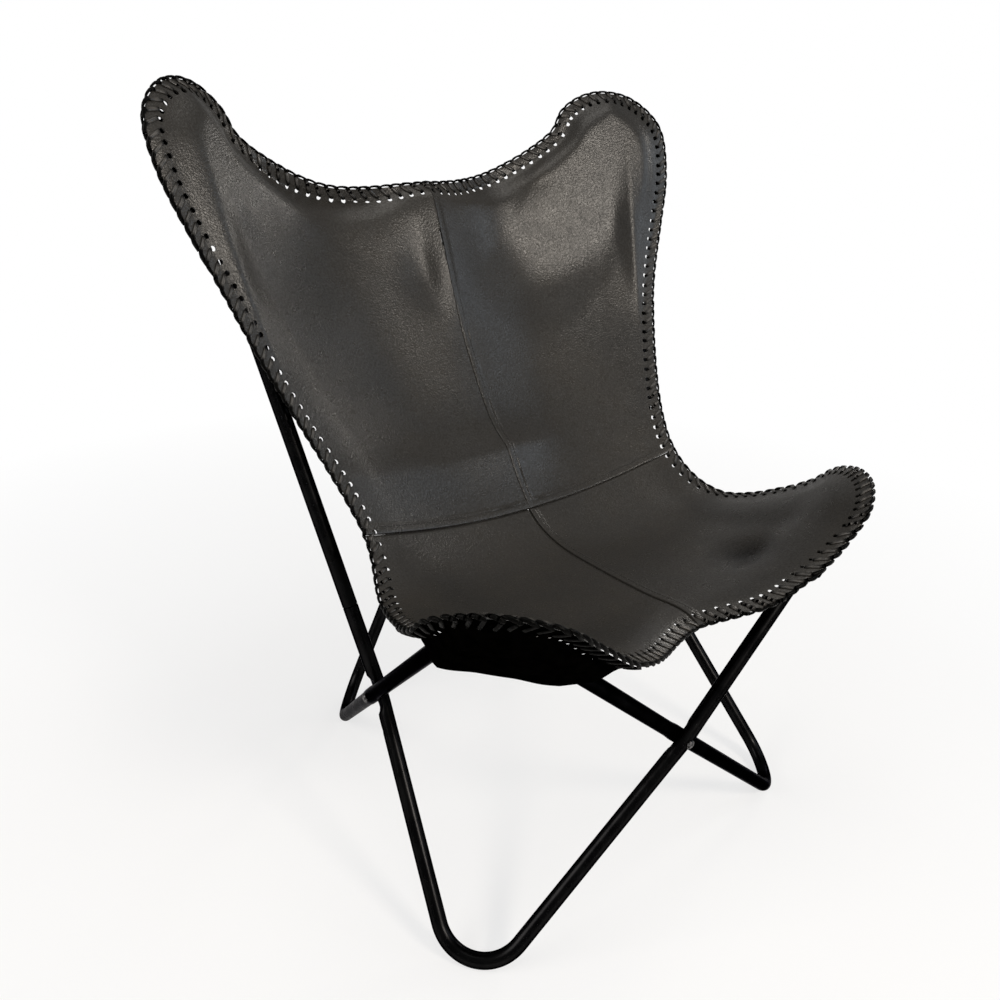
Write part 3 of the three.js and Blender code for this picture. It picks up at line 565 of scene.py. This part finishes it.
def earFrame(loop, sizes, sign):
    put = mirrored if sign < 0 else np.array
    centre, tip = put(loop["centre"]), put(loop["tip"])
    legs = [put(loop["start"]), put(loop["end"])]
    outer, inner = legs if sizes["outerLeg"] == "start" else legs[::-1]
    out = unit(tip - centre)
    side = outer - inner
    side = unit(side - out * (side @ out))
    facing = np.cross(out, side)
    facing = facing if facing[0] < 0 else -facing
    lean = math.asin(unit(outer - centre) @ out)
    own = {key: value[sign] if isinstance(value, dict) else value for key, value in sizes.items()}
    return {"centre": centre, "out": out, "side": side, "facing": facing, "lean": lean, **own,
            "margin": ears["margin"] + own["tip"]}


def earEdge(ear, degrees):
    cos, sin = cosSin(degrees)
    reach = tubes["loopBend"] + ear["margin"] + ear["skew"] * sin + ear["spread"] * sin**2
    lift = ear["lift"] * (tubes["loopBend"] - reach * sin) - ear["drop"]
    return ear["centre"] + ear["out"] * reach * cos + ear["side"] * reach * sin + ear["facing"] * lift


def earWrap(ear, points, rimLift):
    away = points - ear["centre"]
    across, up = away @ ear["side"], away @ ear["out"]
    legs = np.abs(across) * math.cos(ear["lean"]) + up * math.sin(ear["lean"])
    reach = np.hypot(across, up)
    gap = np.where(up > np.abs(across) * math.tan(ear["lean"]), reach, legs) - tubes["loopBend"]
    sin = across / np.maximum(reach, ears["core"])
    margin = ear["margin"] + ear["skew"] * sin + ear["spread"] * sin**2
    height = tubes["radius"] + ears["allowance"]
    slack = 1 - ears["slack"] * smooth(tubes["radius"], tubes["loopBend"], -gap)
    falling = np.clip(1 - gap / margin, 0, 1) ** ears["wrapPower"]
    rim = (ear["lift"] * (tubes["loopBend"] - across) - ear["drop"]) * rimLift
    inside = smooth(0, ears["rimFade"], margin - gap)
    return np.where(gap > 0, mix(rim, height, falling), height * slack), inside


def earFace(ear, flat, moved, rimReach):
    away = flat - ear["centre"]
    height = tubes["radius"] + ears["allowance"]
    plane = ear["lift"] * (tubes["loopBend"] - away @ ear["side"])
    start, tipEnd = ears["flange"]
    sideways = (away @ ear["side"])**2 / np.maximum((away**2).sum(-1), 1e-6)  # never by zero
    flangeEnd = mix(tipEnd, ear["flank"], sideways)
    goal = plane - ear["drop"] + (height + ear["drop"]) * smooth(start, flangeEnd, rimReach)
    limits, (cos, sin) = ears["strip"]["across"], cosSin(ears["strip"]["turn"])
    across = away @ (ear["side"] * cos - ear["out"] * sin)
    down = away @ (ear["side"] * -sin - ear["out"] * cos)
    weight = smooth(*limits[:2], across) * (1 - smooth(*limits[2:], across))
    weight = np.maximum(weight * (1 - smooth(*ear["strip"], down)), smooth(*ears["blend"], away @ ear["out"]))
    weight = weight * smooth(*ears["seamFade"], flat[..., 0]) * smooth(0, ears["rimFade"], rimReach)
    return moved + ear["facing"] * ((goal - (moved - ear["centre"]) @ ear["facing"]) * weight)[..., None]


def slingEdges(backEar, frontEar, sign):
    top, side, front = topPoint, waistPoint, frontPoint
    backArc = [earEdge(backEar, a) for a in backEar["angles"]]
    frontArc = [earEdge(frontEar, a) for a in frontEar["angles"]]

    def middle(name, start, end):
        share, *shift = sling["sags"][name][sign]
        return mix(start, end, share) + vec(*shift)

    topMiddle, sideMiddle = middle("top", top, backArc[0]), middle("side", backArc[-1], side)
    waistMiddle, frontMiddle = middle("waist", side, frontArc[0]), middle("front", frontArc[-1], front)
    points = [mirrored(topMiddle), top, topMiddle, *backArc, sideMiddle, side, waistMiddle, *frontArc,
              frontMiddle, front, mirrored(frontMiddle)]
    spans = splineSpans(points, sling["lineCount"])
    backTip = 3 + backEar["angles"].index(0)  # three points come before the back ear
    waistAt = 3 + len(backArc) + 1
    frontTip = waistAt + 2 + frontEar["angles"].index(0)
    frontAt = waistAt + 2 + len(frontArc) + 1

    def backwards(first, last):
        return lineOf(joinSpans(spans[first:last])["points"][::-1])

    return {"top": joinSpans(spans[1:backTip]), "backSide": backwards(backTip, waistAt),
            "seatSide": joinSpans(spans[waistAt:frontTip]), "front": backwards(frontTip, frontAt)}


def seamLine(start, end, hollows):
    square = np.cross(unit(end - start), vec(1, 0, 0))
    middle = [mix(start, end, share) + square * depth for share, depth in hollows]
    return joinSpans(splineSpans([start, *middle, end], sling["lineCount"]))


crossPoint, waistPoint = drawn(0, *sling["seamCross"]), drawn(*sling["waist"])
topPoint, frontPoint = drawn(0, *sling["topCentre"]), drawn(0, *sling["frontCentre"])
crossMiddle = drawn(sling["waist"][0] / 2, *sling["seamCross"])
t = np.linspace(0, 1, 4 * sling["lineCount"] + 1)[:, None]
crossSeam = lineOf(crossPoint * (1 - t)**2 + crossMiddle * 2 * t * (1 - t) + waistPoint * t**2)
backSeam = seamLine(crossPoint, topPoint, sling["backHollows"])
seatSeam = seamLine(crossPoint, frontPoint, sling["seatHollows"])
foldWay = unit(alongLine(backSeam, sling["fold"]["aim"]) - crossPoint)


def gridNormals(grid, facing):
    normals = np.cross(np.gradient(grid, axis=1), np.gradient(grid, axis=0))
    normals *= np.where((normals @ facing)[..., None] < 0, -1, 1)
    normals += facing * 1e-9  # never of no length
    normals[:, 0, 0] = 0
    return unit(normals)


def gridReach(grid, axis):
    steps = np.linalg.norm(np.diff(grid, axis=axis), axis=2)
    start = np.zeros_like(np.take(steps, [0], axis))
    return np.concatenate((start, np.cumsum(steps, axis=axis)), axis=axis)


def rimDistance(grid):
    return np.minimum(gridReach(grid[:, ::-1], 1)[:, ::-1], gridReach(grid[::-1], 0)[::-1])


waves = sling["ripple"]
rippleLuck = np.random.default_rng(waves["seed"])
rippleScale = np.geomspace(*waves["waves"], waves["count"])[:, None]
rippleWays = rippleLuck.normal(0, 1, (waves["count"], 3)) * rippleScale
ripplePhases = rippleLuck.uniform(0, 2 * math.pi, waves["count"])


def ripple(points):
    return np.sin(points @ rippleWays.T + ripplePhases).sum(-1) * waves["height"] / math.sqrt(waves["count"])


def foldLift(points, sign):
    fold = sling["fold"]
    past = (points - crossPoint) @ foldWay - fold["rise"]
    crest = np.exp(-np.abs(past / np.where(past > 0, fold["above"], fold["below"]))**fold["power"])
    return fold["height"] * crest * np.exp(-(points[..., 0] / fold["width"][sign])**2)


def dentDepth(points, key):
    if key not in sling["dents"]:
        return np.zeros(points.shape[:-1])
    centre, (wide, high), depth = sling["dents"][key]
    away = points - np.array(centre)
    return depth * np.exp(-(away[..., 0] / wide)**2 - (away[..., 1]**2 + away[..., 2]**2) / high**2)


def ridgeLift(points, share):
    ridge = sling["ridge"]
    fade = smooth(ridge["from"], ridge["to"], share)
    return ridge["height"] * np.exp(-points[..., 0] / ridge["width"]) * fade


def panelSurface(seam, edge, sideEdge, ear, folded, sign):
    u, v = np.meshgrid(*(np.linspace(0, 1, count + 1) ** sling["crowd"] for count in sling["cells"]))
    u3, v3 = u[..., None], v[..., None]
    across = mix(alongLine(crossSeam, u), alongLine(edge, u), v3)
    along = mix(alongLine(seam, v), alongLine(sideEdge, v), u3)
    seamEnd, edgeEnd = alongLine(seam, 1.0), alongLine(edge, 1.0)
    flat = across + along - mix(mix(crossPoint, waistPoint, u3), mix(seamEnd, edgeEnd, u3), v3)
    normals = gridNormals(flat, ear["facing"])
    rimReach = rimDistance(flat)
    inside = smooth(0, sling["rimFade"], rimReach)
    fold = (foldLift(flat, sign) + ridgeLift(flat, v)) * folded
    seamFade = smooth(0, sling["seamFade"], np.minimum(gridReach(flat, 1), gridReach(flat, 0)))
    dent = dentDepth(flat, ("back" if folded else "seat", sign))
    moved = flat + normals * ((fold + (ripple(flat) - dent) * seamFade) * inside)[..., None]
    if folded:
        moved = earFace(ear, flat, moved, rimReach)
    wrap, earInside = earWrap(ear, flat, 1)
    short = wrap - (moved - ear["centre"]) @ ear["facing"] - sling["softness"] / 3
    pushed = (short + np.sqrt(short**2 + sling["softness"]**2)) / 2 * earInside
    moved = moved + ear["facing"] * pushed[..., None]
    normals = gridNormals(moved, ear["facing"])
    inner, outer = gridReach(flat[-1:, ::-1], 1)[0, ::-1], gridReach(flat[::-1, -1:], 0)[::-1, 0]
    rimNormal = unit(ear["facing"] + ear["side"] * ear["lift"])
    for target, past in ((normals[-1], inner - ear["pocket"][0]), (normals[:, -1], outer - ear["pocket"][1])):
        turn = smooth(0, sling["edgeTurn"], past)[:, None]
        target[:] = unit(mix(rimNormal, target, turn))
    return {"points": moved, "normals": normals, "ear": ear}


hems = {
    "width": 0.0112, "rise": 0.0012, "step": (-0.001, 0.0012), "edge": 0.0003, "edgeIn": 0.0015,
    "groove": 0.001, "grooveWidth": 0.0011, "stitchIn": 0.0088, "tuck": 0.0015, "tuckWidth": 0.0022,
    "rimRound": 0.0005, "rimRoundIn": 0.0025,
}


def hemRise(reach):
    band = hems["rise"] * (1 - smooth(*(hems["width"] + step for step in hems["step"]), reach))
    groove = hems["groove"] * np.exp(-((reach - hems["stitchIn"]) / hems["grooveWidth"])**2)
    edge = hems["edge"] * (1 - smooth(0, hems["edgeIn"], reach))
    return band - groove - edge


def panelSkins(surface, lapsCentre, lapsCross):
    points, normals = surface["points"], surface["normals"]
    half = sling["clearance"] / 2
    rise = np.zeros(points.shape[:2])
    for reach, laps in ((gridReach(points, 1), lapsCentre), (gridReach(points, 0), lapsCross)):
        if laps:
            rise = np.maximum(rise, hemRise(reach))
        else:
            rise = rise - hems["tuck"] * np.exp(-(reach / hems["tuckWidth"])**2)
    rimReach = rimDistance(points)
    rise = rise - hems["rimRound"] * (1 - smooth(0, hems["rimRoundIn"], rimReach))
    rise = rise - sling["rimThin"] * (1 - smooth(*sling["rimThinSpan"], rimReach))
    back = points + normals * half
    away = unit(points[1] - points[0])
    back[0] += unit(away - normals[0] * (away * normals[0]).sum(1)[:, None]) * half
    front = back + normals * (sling["leather"] + rise)[..., None]
    for skin in (back, front):
        skin[..., 0] = np.maximum(skin[..., 0], half)
    return front, back


def sheetMesh(name, front, back, sign):
    rows, columns = front.shape[0] - 1, front.shape[1] - 1
    bm = bmesh.new()
    bmesh.ops.create_grid(bm, x_segments=columns, y_segments=rows, size=1)
    made = bmesh.ops.extrude_face_region(bm, geom=bm.faces[:], use_keep_orig=True)["geom"]
    lifted = {item for item in made if isinstance(item, bmesh.types.BMVert)}
    for vert in bm.verts:
        i, j = round((vert.co.x + 1) / 2 * columns), round((vert.co.y + 1) / 2 * rows)
        vert.co = (front if vert in lifted else back)[j, i]
        vert.co.x *= sign
    bmesh.ops.remove_doubles(bm, verts=bm.verts[:], dist=2 * weld)
    return meshFrom(bm, name, sling["sharp"])


pockets = {
    "cells": (40, 44), "crowd": 0.8, "inset": 0.0012, "leastSpan": 1e-4, "gap": 0.0003,
    "fall": (0.017, 0.045), "belly": 0.009, "bellyFrom": 0.2, "skive": 0.0018, "skiveSpan": (0.014, 0.04),
}


def pocketSkins(surface):
    ear, points = surface["ear"], surface["points"]
    rows, columns = pockets["cells"]
    down = (np.linspace(0, 1, rows + 1) ** pockets["crowd"])[:, None]
    rims = zip((lineOf(points[-1, ::-1]), lineOf(points[::-1, -1])), ear["pocket"])
    innerRim, outerRim = (alongLine(line, down * depth / line["length"]) for line, depth in rims)
    span = np.maximum(np.linalg.norm(outerRim - innerRim, axis=2), pockets["leastSpan"])
    share = np.linspace(0, 1, columns + 1)[None, :]
    inset = np.minimum(pockets["inset"] / span, 0.5)
    share = (inset + (1 - 2 * inset) * share)[..., None]
    chords = mix(innerRim, outerRim, share)
    wrap, inside = earWrap(ear, chords, 0)
    edge = np.minimum(share, 1 - share)[..., 0] * span
    fall = smooth(*pockets["fall"], edge)
    sunk = np.maximum(wrap + (chords - ear["centre"]) @ ear["facing"], 0) * inside * fall + pockets["gap"]
    sunk = sunk + pockets["belly"] * smooth(pockets["bellyFrom"], 1, down) * np.sin(math.pi * share[..., 0])
    front = chords - ear["facing"] * sunk[..., None]
    thick = sling["leather"] - pockets["skive"] * (1 - smooth(*pockets["skiveSpan"], edge))
    return front, front - ear["facing"] * thick[..., None]


halves, panels, pocketPieces = {}, {}, {}
for sign in (-1, 1):
    side = sideNames[sign]
    backEar = earFrame(hoops[sign]["backLoop"], ears["back"], sign)
    frontEar = earFrame(hoops[-sign]["frontLoop"], ears["front"], sign)
    edges = slingEdges(backEar, frontEar, sign)
    back = panelSurface(backSeam, edges["top"], edges["backSide"], backEar, 1, sign)
    seat = panelSurface(seatSeam, edges["front"], edges["seatSide"], frontEar, 0, sign)
    shared = unit(back["normals"][0] + seat["normals"][0])
    back["normals"][0], seat["normals"][0] = shared, shared
    halves[sign] = {"back": back, "seat": seat}
    for part, surface in halves[sign].items():
        surface["front"], surface["rear"] = panelSkins(surface, sign > 0, part == "back")
        name = f"panel_{part}_{side}"
        mesh = sheetMesh(name, surface["front"], surface["rear"], sign)
        panels[part, sign] = addPiece(name + "_leather", mesh, leathers[part], "leather", name)
        name = f"pocket_{'back' if part == 'back' else 'front'}_{side}"
        mesh = sheetMesh(name, *pocketSkins(surface), sign)
        pocketPieces[part, sign] = addPiece(name + "_leather", mesh, suedeAndPaintedShade, "leather", name)
print("stage: sling")


# Lacing: a leather lace whipped over the edge through a row of holes

lacing = {
    "pitch": 0.0145, "inset": 0.0125, "slant": 0.0100, "jitter": 0.0005, "seed": 11, "widths": (0.9, 1.12),
    "panelHole": {"back": 0.0031, "seat": 0.0026}, "pocketHole": {"back": 0.0043, "seat": 0.0024},
    "holeSides": 12, "holeIn": 0.0020, "holeDepth": 0.018, "holeBack": 0.005,
    "narrow": 0.0022, "wide": 0.0026, "thick": 0.0009, "swell": 1.5, "sides": 6, "rings": 13, "sharp": 110,
    "reach": 0.03, "look": 0.004, "skin": 0.0016, "stand": 0.0027, "edgeIn": 0.0015,
    "dive": ((0.0004, 0.0034, 0), (-0.0012, 0.0004, 0.1)),  # past the hole, sunk, share of the widening
    "frontShares": (0.4, 0.8), "rearShares": (0.7, 0.35),  # of the way from the hole to the edge
    "arch": ((35, 0), (65, 0.0036), (90, 0.0072), (115, 0.0108), (145, 0.0144)),  # degrees, drift
    "faceRings": (2, 3), "faceWidth": 0.9,  # where a strap keeps its own colour; its other rings and its sides get painted shade
}
skins = {}
for key in panels:
    verts, polygons = [], []
    for piece in (panels[key], pocketPieces[key]):
        start = len(verts)
        verts += [v.co[:] for v in piece.data.vertices]
        polygons += [[start + k for k in p.vertices] for p in piece.data.polygons]
    skins[key] = BVHTree.FromPolygons(verts, polygons)


def rimRun(part, sign, along, backwards):
    surface, turn = halves[sign][part], -1 if backwards else 1
    rims = [grid[:, -1] if along == "side" else grid[-1] for grid in (surface["points"], surface["normals"])]
    points, normals = (mirrored(rim) for rim in rims) if sign < 0 else rims
    return points[::turn], normals[::turn], (part, sign)


def joinRims(*rims):
    points, normals = (np.concatenate([rim[k] for rim in rims]) for k in (0, 1))
    keys = [key for points, normals, key in rims for _ in points]
    kept = np.concatenate(([True], np.linalg.norm(np.diff(points, axis=0), axis=1) > weld))
    return lineOf(points[kept]), normals[kept], [k for k, keep in zip(keys, kept) if keep]


runs = {  # clockwise, as the sitter's side is seen from the front
    "top": joinRims(rimRun("back", -1, "end", True), rimRun("back", 1, "end", False)),
    "right": joinRims(rimRun("back", 1, "side", True), rimRun("seat", 1, "side", False)),
    "front": joinRims(rimRun("seat", 1, "end", True), rimRun("seat", -1, "end", False)),
    "left": joinRims(rimRun("seat", -1, "side", True), rimRun("back", -1, "side", False)),
}
runBefore = {"top": "left", "right": "top", "front": "right", "left": "front"}


def keyAt(name, reach):
    line, _, keys = runs[name]
    return keys[min(int(np.searchsorted(line["reach"], reach)), len(keys) - 1)]


def rimFrame(name, reach):
    if reach < 0:
        name = runBefore[name]
        reach += runs[name][0]["length"]
    line, normals, _ = runs[name]
    point, way = spotAndWay(line, reach, lacing["look"])
    normal = unit(lookUp(reach, line["reach"], normals))
    return point, normal, unit(np.cross(way, normal)), skins[keyAt(name, reach)]


def touch(tree, start, way, fallback):
    hit, normal, _, _ = tree.ray_cast(Vector(start), Vector(way), 2 * lacing["reach"])
    if hit is None:
        return fallback, -way
    normal = np.array(normal)
    return np.array(hit), normal if normal @ way < 0 else -normal


def stitchPath(name, reach, slant, pitch):
    inset, thick, edgeIn = lacing["inset"], lacing["thick"], lacing["edgeIn"]
    places = []

    def onSkin(shift, depth, front, sink):
        point, normal, inward, tree = rimFrame(name, reach - shift)
        way = -normal if front else normal
        spot = point + inward * depth
        hit, up = touch(tree, spot - way * lacing["reach"], way, spot - way * lacing["skin"])
        return hit + up * (thick - sink), up

    first, up = onSkin(0, inset + lacing["holeIn"], True, 0)
    hole = {"place": first, "axis": up}
    for past, sink, share in lacing["dive"]:
        places.append((onSkin(0, inset + past, True, sink), share))
    for share in lacing["frontShares"]:
        places.append((onSkin(slant * share, inset * (1 - share), True, 0), share))
    for angle, drift in lacing["arch"]:
        _, normal, inward, _ = rimFrame(name, reach - slant - drift)
        frontSkin, _ = onSkin(slant + drift, edgeIn, True, thick)
        rearSkin, _ = onSkin(slant + drift, edgeIn, False, thick)
        centre, half = (frontSkin + rearSkin) / 2, np.linalg.norm(frontSkin - rearSkin) / 2 + thick
        cos, sin = cosSin(angle)
        up = unit(normal * cos - inward * sin)
        places.append(((centre + normal * half * cos - inward * (edgeIn + lacing["stand"]) * sin, up), 1))
    behind = slant + lacing["arch"][-1][1]
    for share in lacing["rearShares"]:
        places.append((onSkin(mix(pitch, behind, share), inset * (1 - share), False, 0), share))
    for past, sink, share in reversed(lacing["dive"]):
        places.append((onSkin(pitch, inset + past, False, sink), share))
    return hole, places


def strapTemplate(rings):
    bm = bmesh.new()
    bmesh.ops.create_circle(bm, cap_ends=True, segments=lacing["sides"], radius=1)
    face = bm.faces[:][0]
    for ring in range(1, rings):
        made = bmesh.ops.extrude_face_region(bm, geom=[face], use_keep_orig=ring == 1)["geom"]
        face = next(item for item in made if isinstance(item, bmesh.types.BMFace))
        bmesh.ops.translate(bm, verts=face.verts[:], vec=(0, 0, 1))
    return meshFrom(bm, "strap")


def layStrap(bm, template, places, width):
    spots, ups = (np.array([stand[k] for stand, share in places]) for k in (0, 1))
    ways = unit(np.gradient(spots, axis=0))
    across = unit(np.cross(ways, ups))
    ups = np.cross(across, ways)
    start = len(bm.verts)
    bm.from_mesh(template)
    bm.verts.ensure_lookup_table()
    paintedShadeLayer = bm.verts.layers.float["arch"]
    first, last = lacing["faceRings"]
    for vert in bm.verts[start:]:
        ring = round(vert.co.z)
        # painted shade on each strap's hole ends, its arch over the edge, its rear part and its sides
        vert[paintedShadeLayer] = not first <= ring <= last or abs(vert.co.x) > lacing["faceWidth"]
        share = places[ring][1]
        half = mix(lacing["narrow"], lacing["wide"], share) * width
        thick = lacing["thick"] * (lacing["swell"] if share == 1 else 1)
        vert.co = spots[ring] + across[ring] * vert.co.x * half + ups[ring] * vert.co.y * thick


luck = np.random.default_rng(lacing["seed"])
holes = {key: [] for key in panels}
laceTemplate = strapTemplate(lacing["rings"])
for name, (line, _, _) in runs.items():
    count = round(line["length"] / lacing["pitch"])
    pitch = line["length"] / count
    bm = bmesh.new()
    # the "arch" attribute marks where a strap gets painted shade
    bm.verts.layers.float.new("arch")
    for k in range(count):
        reach = (k + 0.5) * pitch + luck.normal(0, lacing["jitter"])
        slant = lacing["slant"] + luck.normal(0, lacing["jitter"])
        hole, places = stitchPath(name, reach, slant, pitch)
        layStrap(bm, laceTemplate, places, luck.uniform(*lacing["widths"]))
        holes[keyAt(name, reach)].append(hole)
    mesh = meshFrom(bm, f"lacing_{name}", lacing["sharp"])
    addPiece(f"lacing_{name}_straps", mesh, lace, "lace", f"lacing_{name}")
bpy.data.meshes.remove(laceTemplate)
print("stage: lacing", {key: len(found) for key, found in holes.items()})


def cutHoles(piece, found, radius):
    bm = bmesh.new()
    for hole in found:
        turn = Vector((0, 0, 1)).rotation_difference(Vector(hole["axis"])).to_matrix().to_4x4()
        middle = Matrix.Translation(Vector(hole["place"] - hole["axis"] * lacing["holeBack"]))
        bmesh.ops.create_cone(bm, cap_ends=True, segments=lacing["holeSides"], radius1=radius, radius2=radius,
                              depth=lacing["holeDepth"], matrix=middle @ turn)
    cutter = placed("holeCutter", meshFrom(bm, "holeCutter"))
    cut = piece.modifiers.new("holes", "BOOLEAN")
    cut.object, cut.operation, cut.solver = cutter, "DIFFERENCE", "MANIFOLD"
    graph = bpy.context.evaluated_depsgraph_get()
    pierced = bpy.data.meshes.new_from_object(piece.evaluated_get(graph))
    piece.modifiers.clear()
    plain, piece.data = piece.data, pierced
    pierced.set_sharp_from_angle(angle=math.radians(sling["sharp"]))
    bpy.data.objects.remove(cutter)
    bpy.data.meshes.remove(plain)


for key, found in holes.items():
    cutHoles(panels[key], found, lacing["panelHole"][key[0]])
    cutHoles(pocketPieces[key], found, lacing["pocketHole"][key[0]])
print("stage: holes", {str(key): len(piece.data.polygons) for key, piece in panels.items()})


# Seam stitches: short threads sunk in the hems

stitches = {
    "length": 0.0030, "pitch": 0.0042, "radius": 0.00042, "sides": 6, "rings": 4, "sharp": 80,
    "look": 0.001, "stand": 0.35, "endCells": 6,
    "rows": {  # panel, side, along the cross seam, cells left free at the start
        "centre_back": ("back", 1, False, 8), "centre_seat": ("seat", 1, False, 2),
        "cross_left": ("back", -1, True, 3), "cross_right": ("back", 1, True, 3),
    },
}


def stitchLine(part, sign, crosswise, skip):
    grids = [halves[sign][part][key] for key in ("points", "front", "normals")]
    points, front, normals = (grid.swapaxes(0, 1) for grid in grids) if crosswise else grids
    reach, stop = gridReach(points, 1), len(points) - stitches["endCells"]
    picks = np.array([lookUp(hems["stitchIn"], reach[k], front[k]) for k in range(skip, stop)])
    ups = normals[skip:stop, 1]
    return (mirrored(picks), mirrored(ups)) if sign < 0 else (picks, ups)


def stitchRow(bm, points, ups):
    line = lineOf(points)
    for k in range(int(line["length"] / stitches["pitch"])):
        reach = (k + 0.5) * stitches["pitch"]
        middle, way = spotAndWay(line, reach, stitches["look"])
        up = lookUp(reach, line["reach"], ups)
        up = unit(up - way * (up @ way))
        turn = Matrix(np.stack((np.cross(up, way), up, way), 1)).to_4x4()
        size = Matrix.Diagonal((1, 1, stitches["length"] / 2 / stitches["radius"], 1))
        place = Matrix.Translation(Vector(middle + up * stitches["radius"] * stitches["stand"]))
        bmesh.ops.create_uvsphere(bm, u_segments=stitches["sides"], v_segments=stitches["rings"],
                                  radius=stitches["radius"], matrix=place @ turn @ size)


for name, row in stitches["rows"].items():
    bm = bmesh.new()
    stitchRow(bm, *stitchLine(*row))
    addPiece(f"stitches_{name}", meshFrom(bm, f"stitches_{name}", stitches["sharp"]), thread, "lace")
print("stage: stitches")
# Studio: a pale floor, soft light and the camera at the photo's place

studio = {
    "floor": (0.86, 0.86, 0.86), "roughness": 0.9, "specular": 0.1, "fade": (0.5, 1.6), "nearWhite": 0.7,
    "ambient": 0.26,
    "backdrop": {"reach": 5, "bend": 0.6, "height": 2.4, "steps": 72, "bendSteps": 8},
    "lamps": (  # name, azimuth, elevation, distance, width, height, power, colour
        ("key", 8, 28, 2.6, 0.6, 0.45, 35, (1, 0.92, 0.82)),
        ("fill", 54, 22, 2.6, 1.6, 0.8, 9, (0.76, 0.87, 1)),
        ("side", 95, 17, 2.6, 0.6, 0.5, 10, (1, 0.95, 0.88)),
        ("top", 0, 82, 2.6, 1.6, 1.6, 19, (1, 0.96, 0.9)),
        ("left", -100, 25, 2.6, 1.6, 1.2, 33, (1, 0.95, 0.9)),
    ),
    "aim": (0, 0.15, 0.6),
}
camera = {
    "place": (-0.6777, -0.7937, 0.8878), "target": (-0.0179, 0, 0.4245), "roll": 3.27,
    "focal": 0.8842, "sensor": 36, "centre": (0.0184, 0.0113), "clip": (0.01, 100),
}


def floorPiece():
    material, tree, bsdf = newTree("floor")
    feed(tree, bsdf, {"Base Color": (*studio["floor"], 1), "Roughness": studio["roughness"],
                      "Specular IOR Level": studio["specular"]})
    reach = addNode(tree, "VectorMath", {0: ownPlace(tree)}, operation="LENGTH").outputs["Value"]
    far = remap(tree, reach, *studio["fade"], studio["nearWhite"], 1)
    toCamera = addNode(tree, "LightPath", {}).outputs["Is Camera Ray"]
    seen = addNode(tree, "Math", {0: toCamera, 1: far}, operation="MULTIPLY").outputs["Value"]
    white = addNode(tree, "Emission", {"Strength": 1.0}).outputs["Emission"]
    fade = addNode(tree, "MixShader", {"Fac": seen, 1: bsdf.outputs["BSDF"], 2: white})
    feed(tree, tree.nodes["Material Output"], {"Surface": fade.outputs["Shader"]})
    shape = studio["backdrop"]
    angles = np.linspace(0, math.pi / 2, shape["bendSteps"] + 1)
    bent = [(shape["reach"] + shape["bend"] * math.sin(a), shape["bend"] * (1 - math.cos(a))) for a in angles]
    bm = spun([(0, 0), *bent, (bent[-1][0], shape["height"])], shape["steps"])
    piece = placed("floor", meshFrom(bm, "floor"))
    piece.data.materials.append(material)


def addLamp(name, azimuth, elevation, distance, width, height, power, colour):
    data = bpy.data.lights.new(name, "AREA")
    data.shape, data.size, data.size_y, data.energy, data.color = "RECTANGLE", width, height, power, colour
    turn, rise = math.radians(azimuth), math.radians(elevation)
    away = Vector((math.sin(turn) * math.cos(rise), -math.cos(turn) * math.cos(rise), math.sin(rise)))
    lamp = placed(name, data)
    lamp.location = Vector(studio["aim"]) + away * distance
    lamp.rotation_euler = (-away).to_track_quat("-Z", "Y").to_euler()


def setWorld():
    world = bpy.data.worlds.new("studio")
    world.use_nodes = True
    tree = world.node_tree
    toCamera = addNode(tree, "LightPath", {}).outputs["Is Camera Ray"]
    strength = remap(tree, toCamera, 0, 1, studio["ambient"], 1)  # white to the camera alone
    feed(tree, tree.nodes["Background"], {"Color": (1, 1, 1, 1), "Strength": strength})
    bpy.context.scene.world = world


def addCamera():
    data = bpy.data.cameras.new("camera")
    data.sensor_width, data.lens = camera["sensor"], camera["focal"] * camera["sensor"]
    data.shift_x, data.shift_y = -camera["centre"][0], -camera["centre"][1]
    data.clip_start, data.clip_end = camera["clip"]
    place = drawn(*camera["place"])
    forward = unit(drawn(*camera["target"]) - place)
    right = unit(np.cross(forward, vec(0, 0, 1)))
    up = np.cross(right, forward)
    cos, sin = cosSin(camera["roll"])
    rolledRight, rolledUp = right * cos + up * sin, up * cos - right * sin
    piece = placed("camera", data)
    turn = Matrix(np.stack((rolledRight, rolledUp, -forward), 1)).to_4x4()
    piece.matrix_world = Matrix.Translation(Vector(place)) @ turn
    bpy.context.scene.camera = piece


floorPiece()
for lamp in studio["lamps"]:
    addLamp(*lamp)
setWorld()
addCamera()
bpy.context.scene.view_settings.view_transform = "Standard"
print("stage: studio")
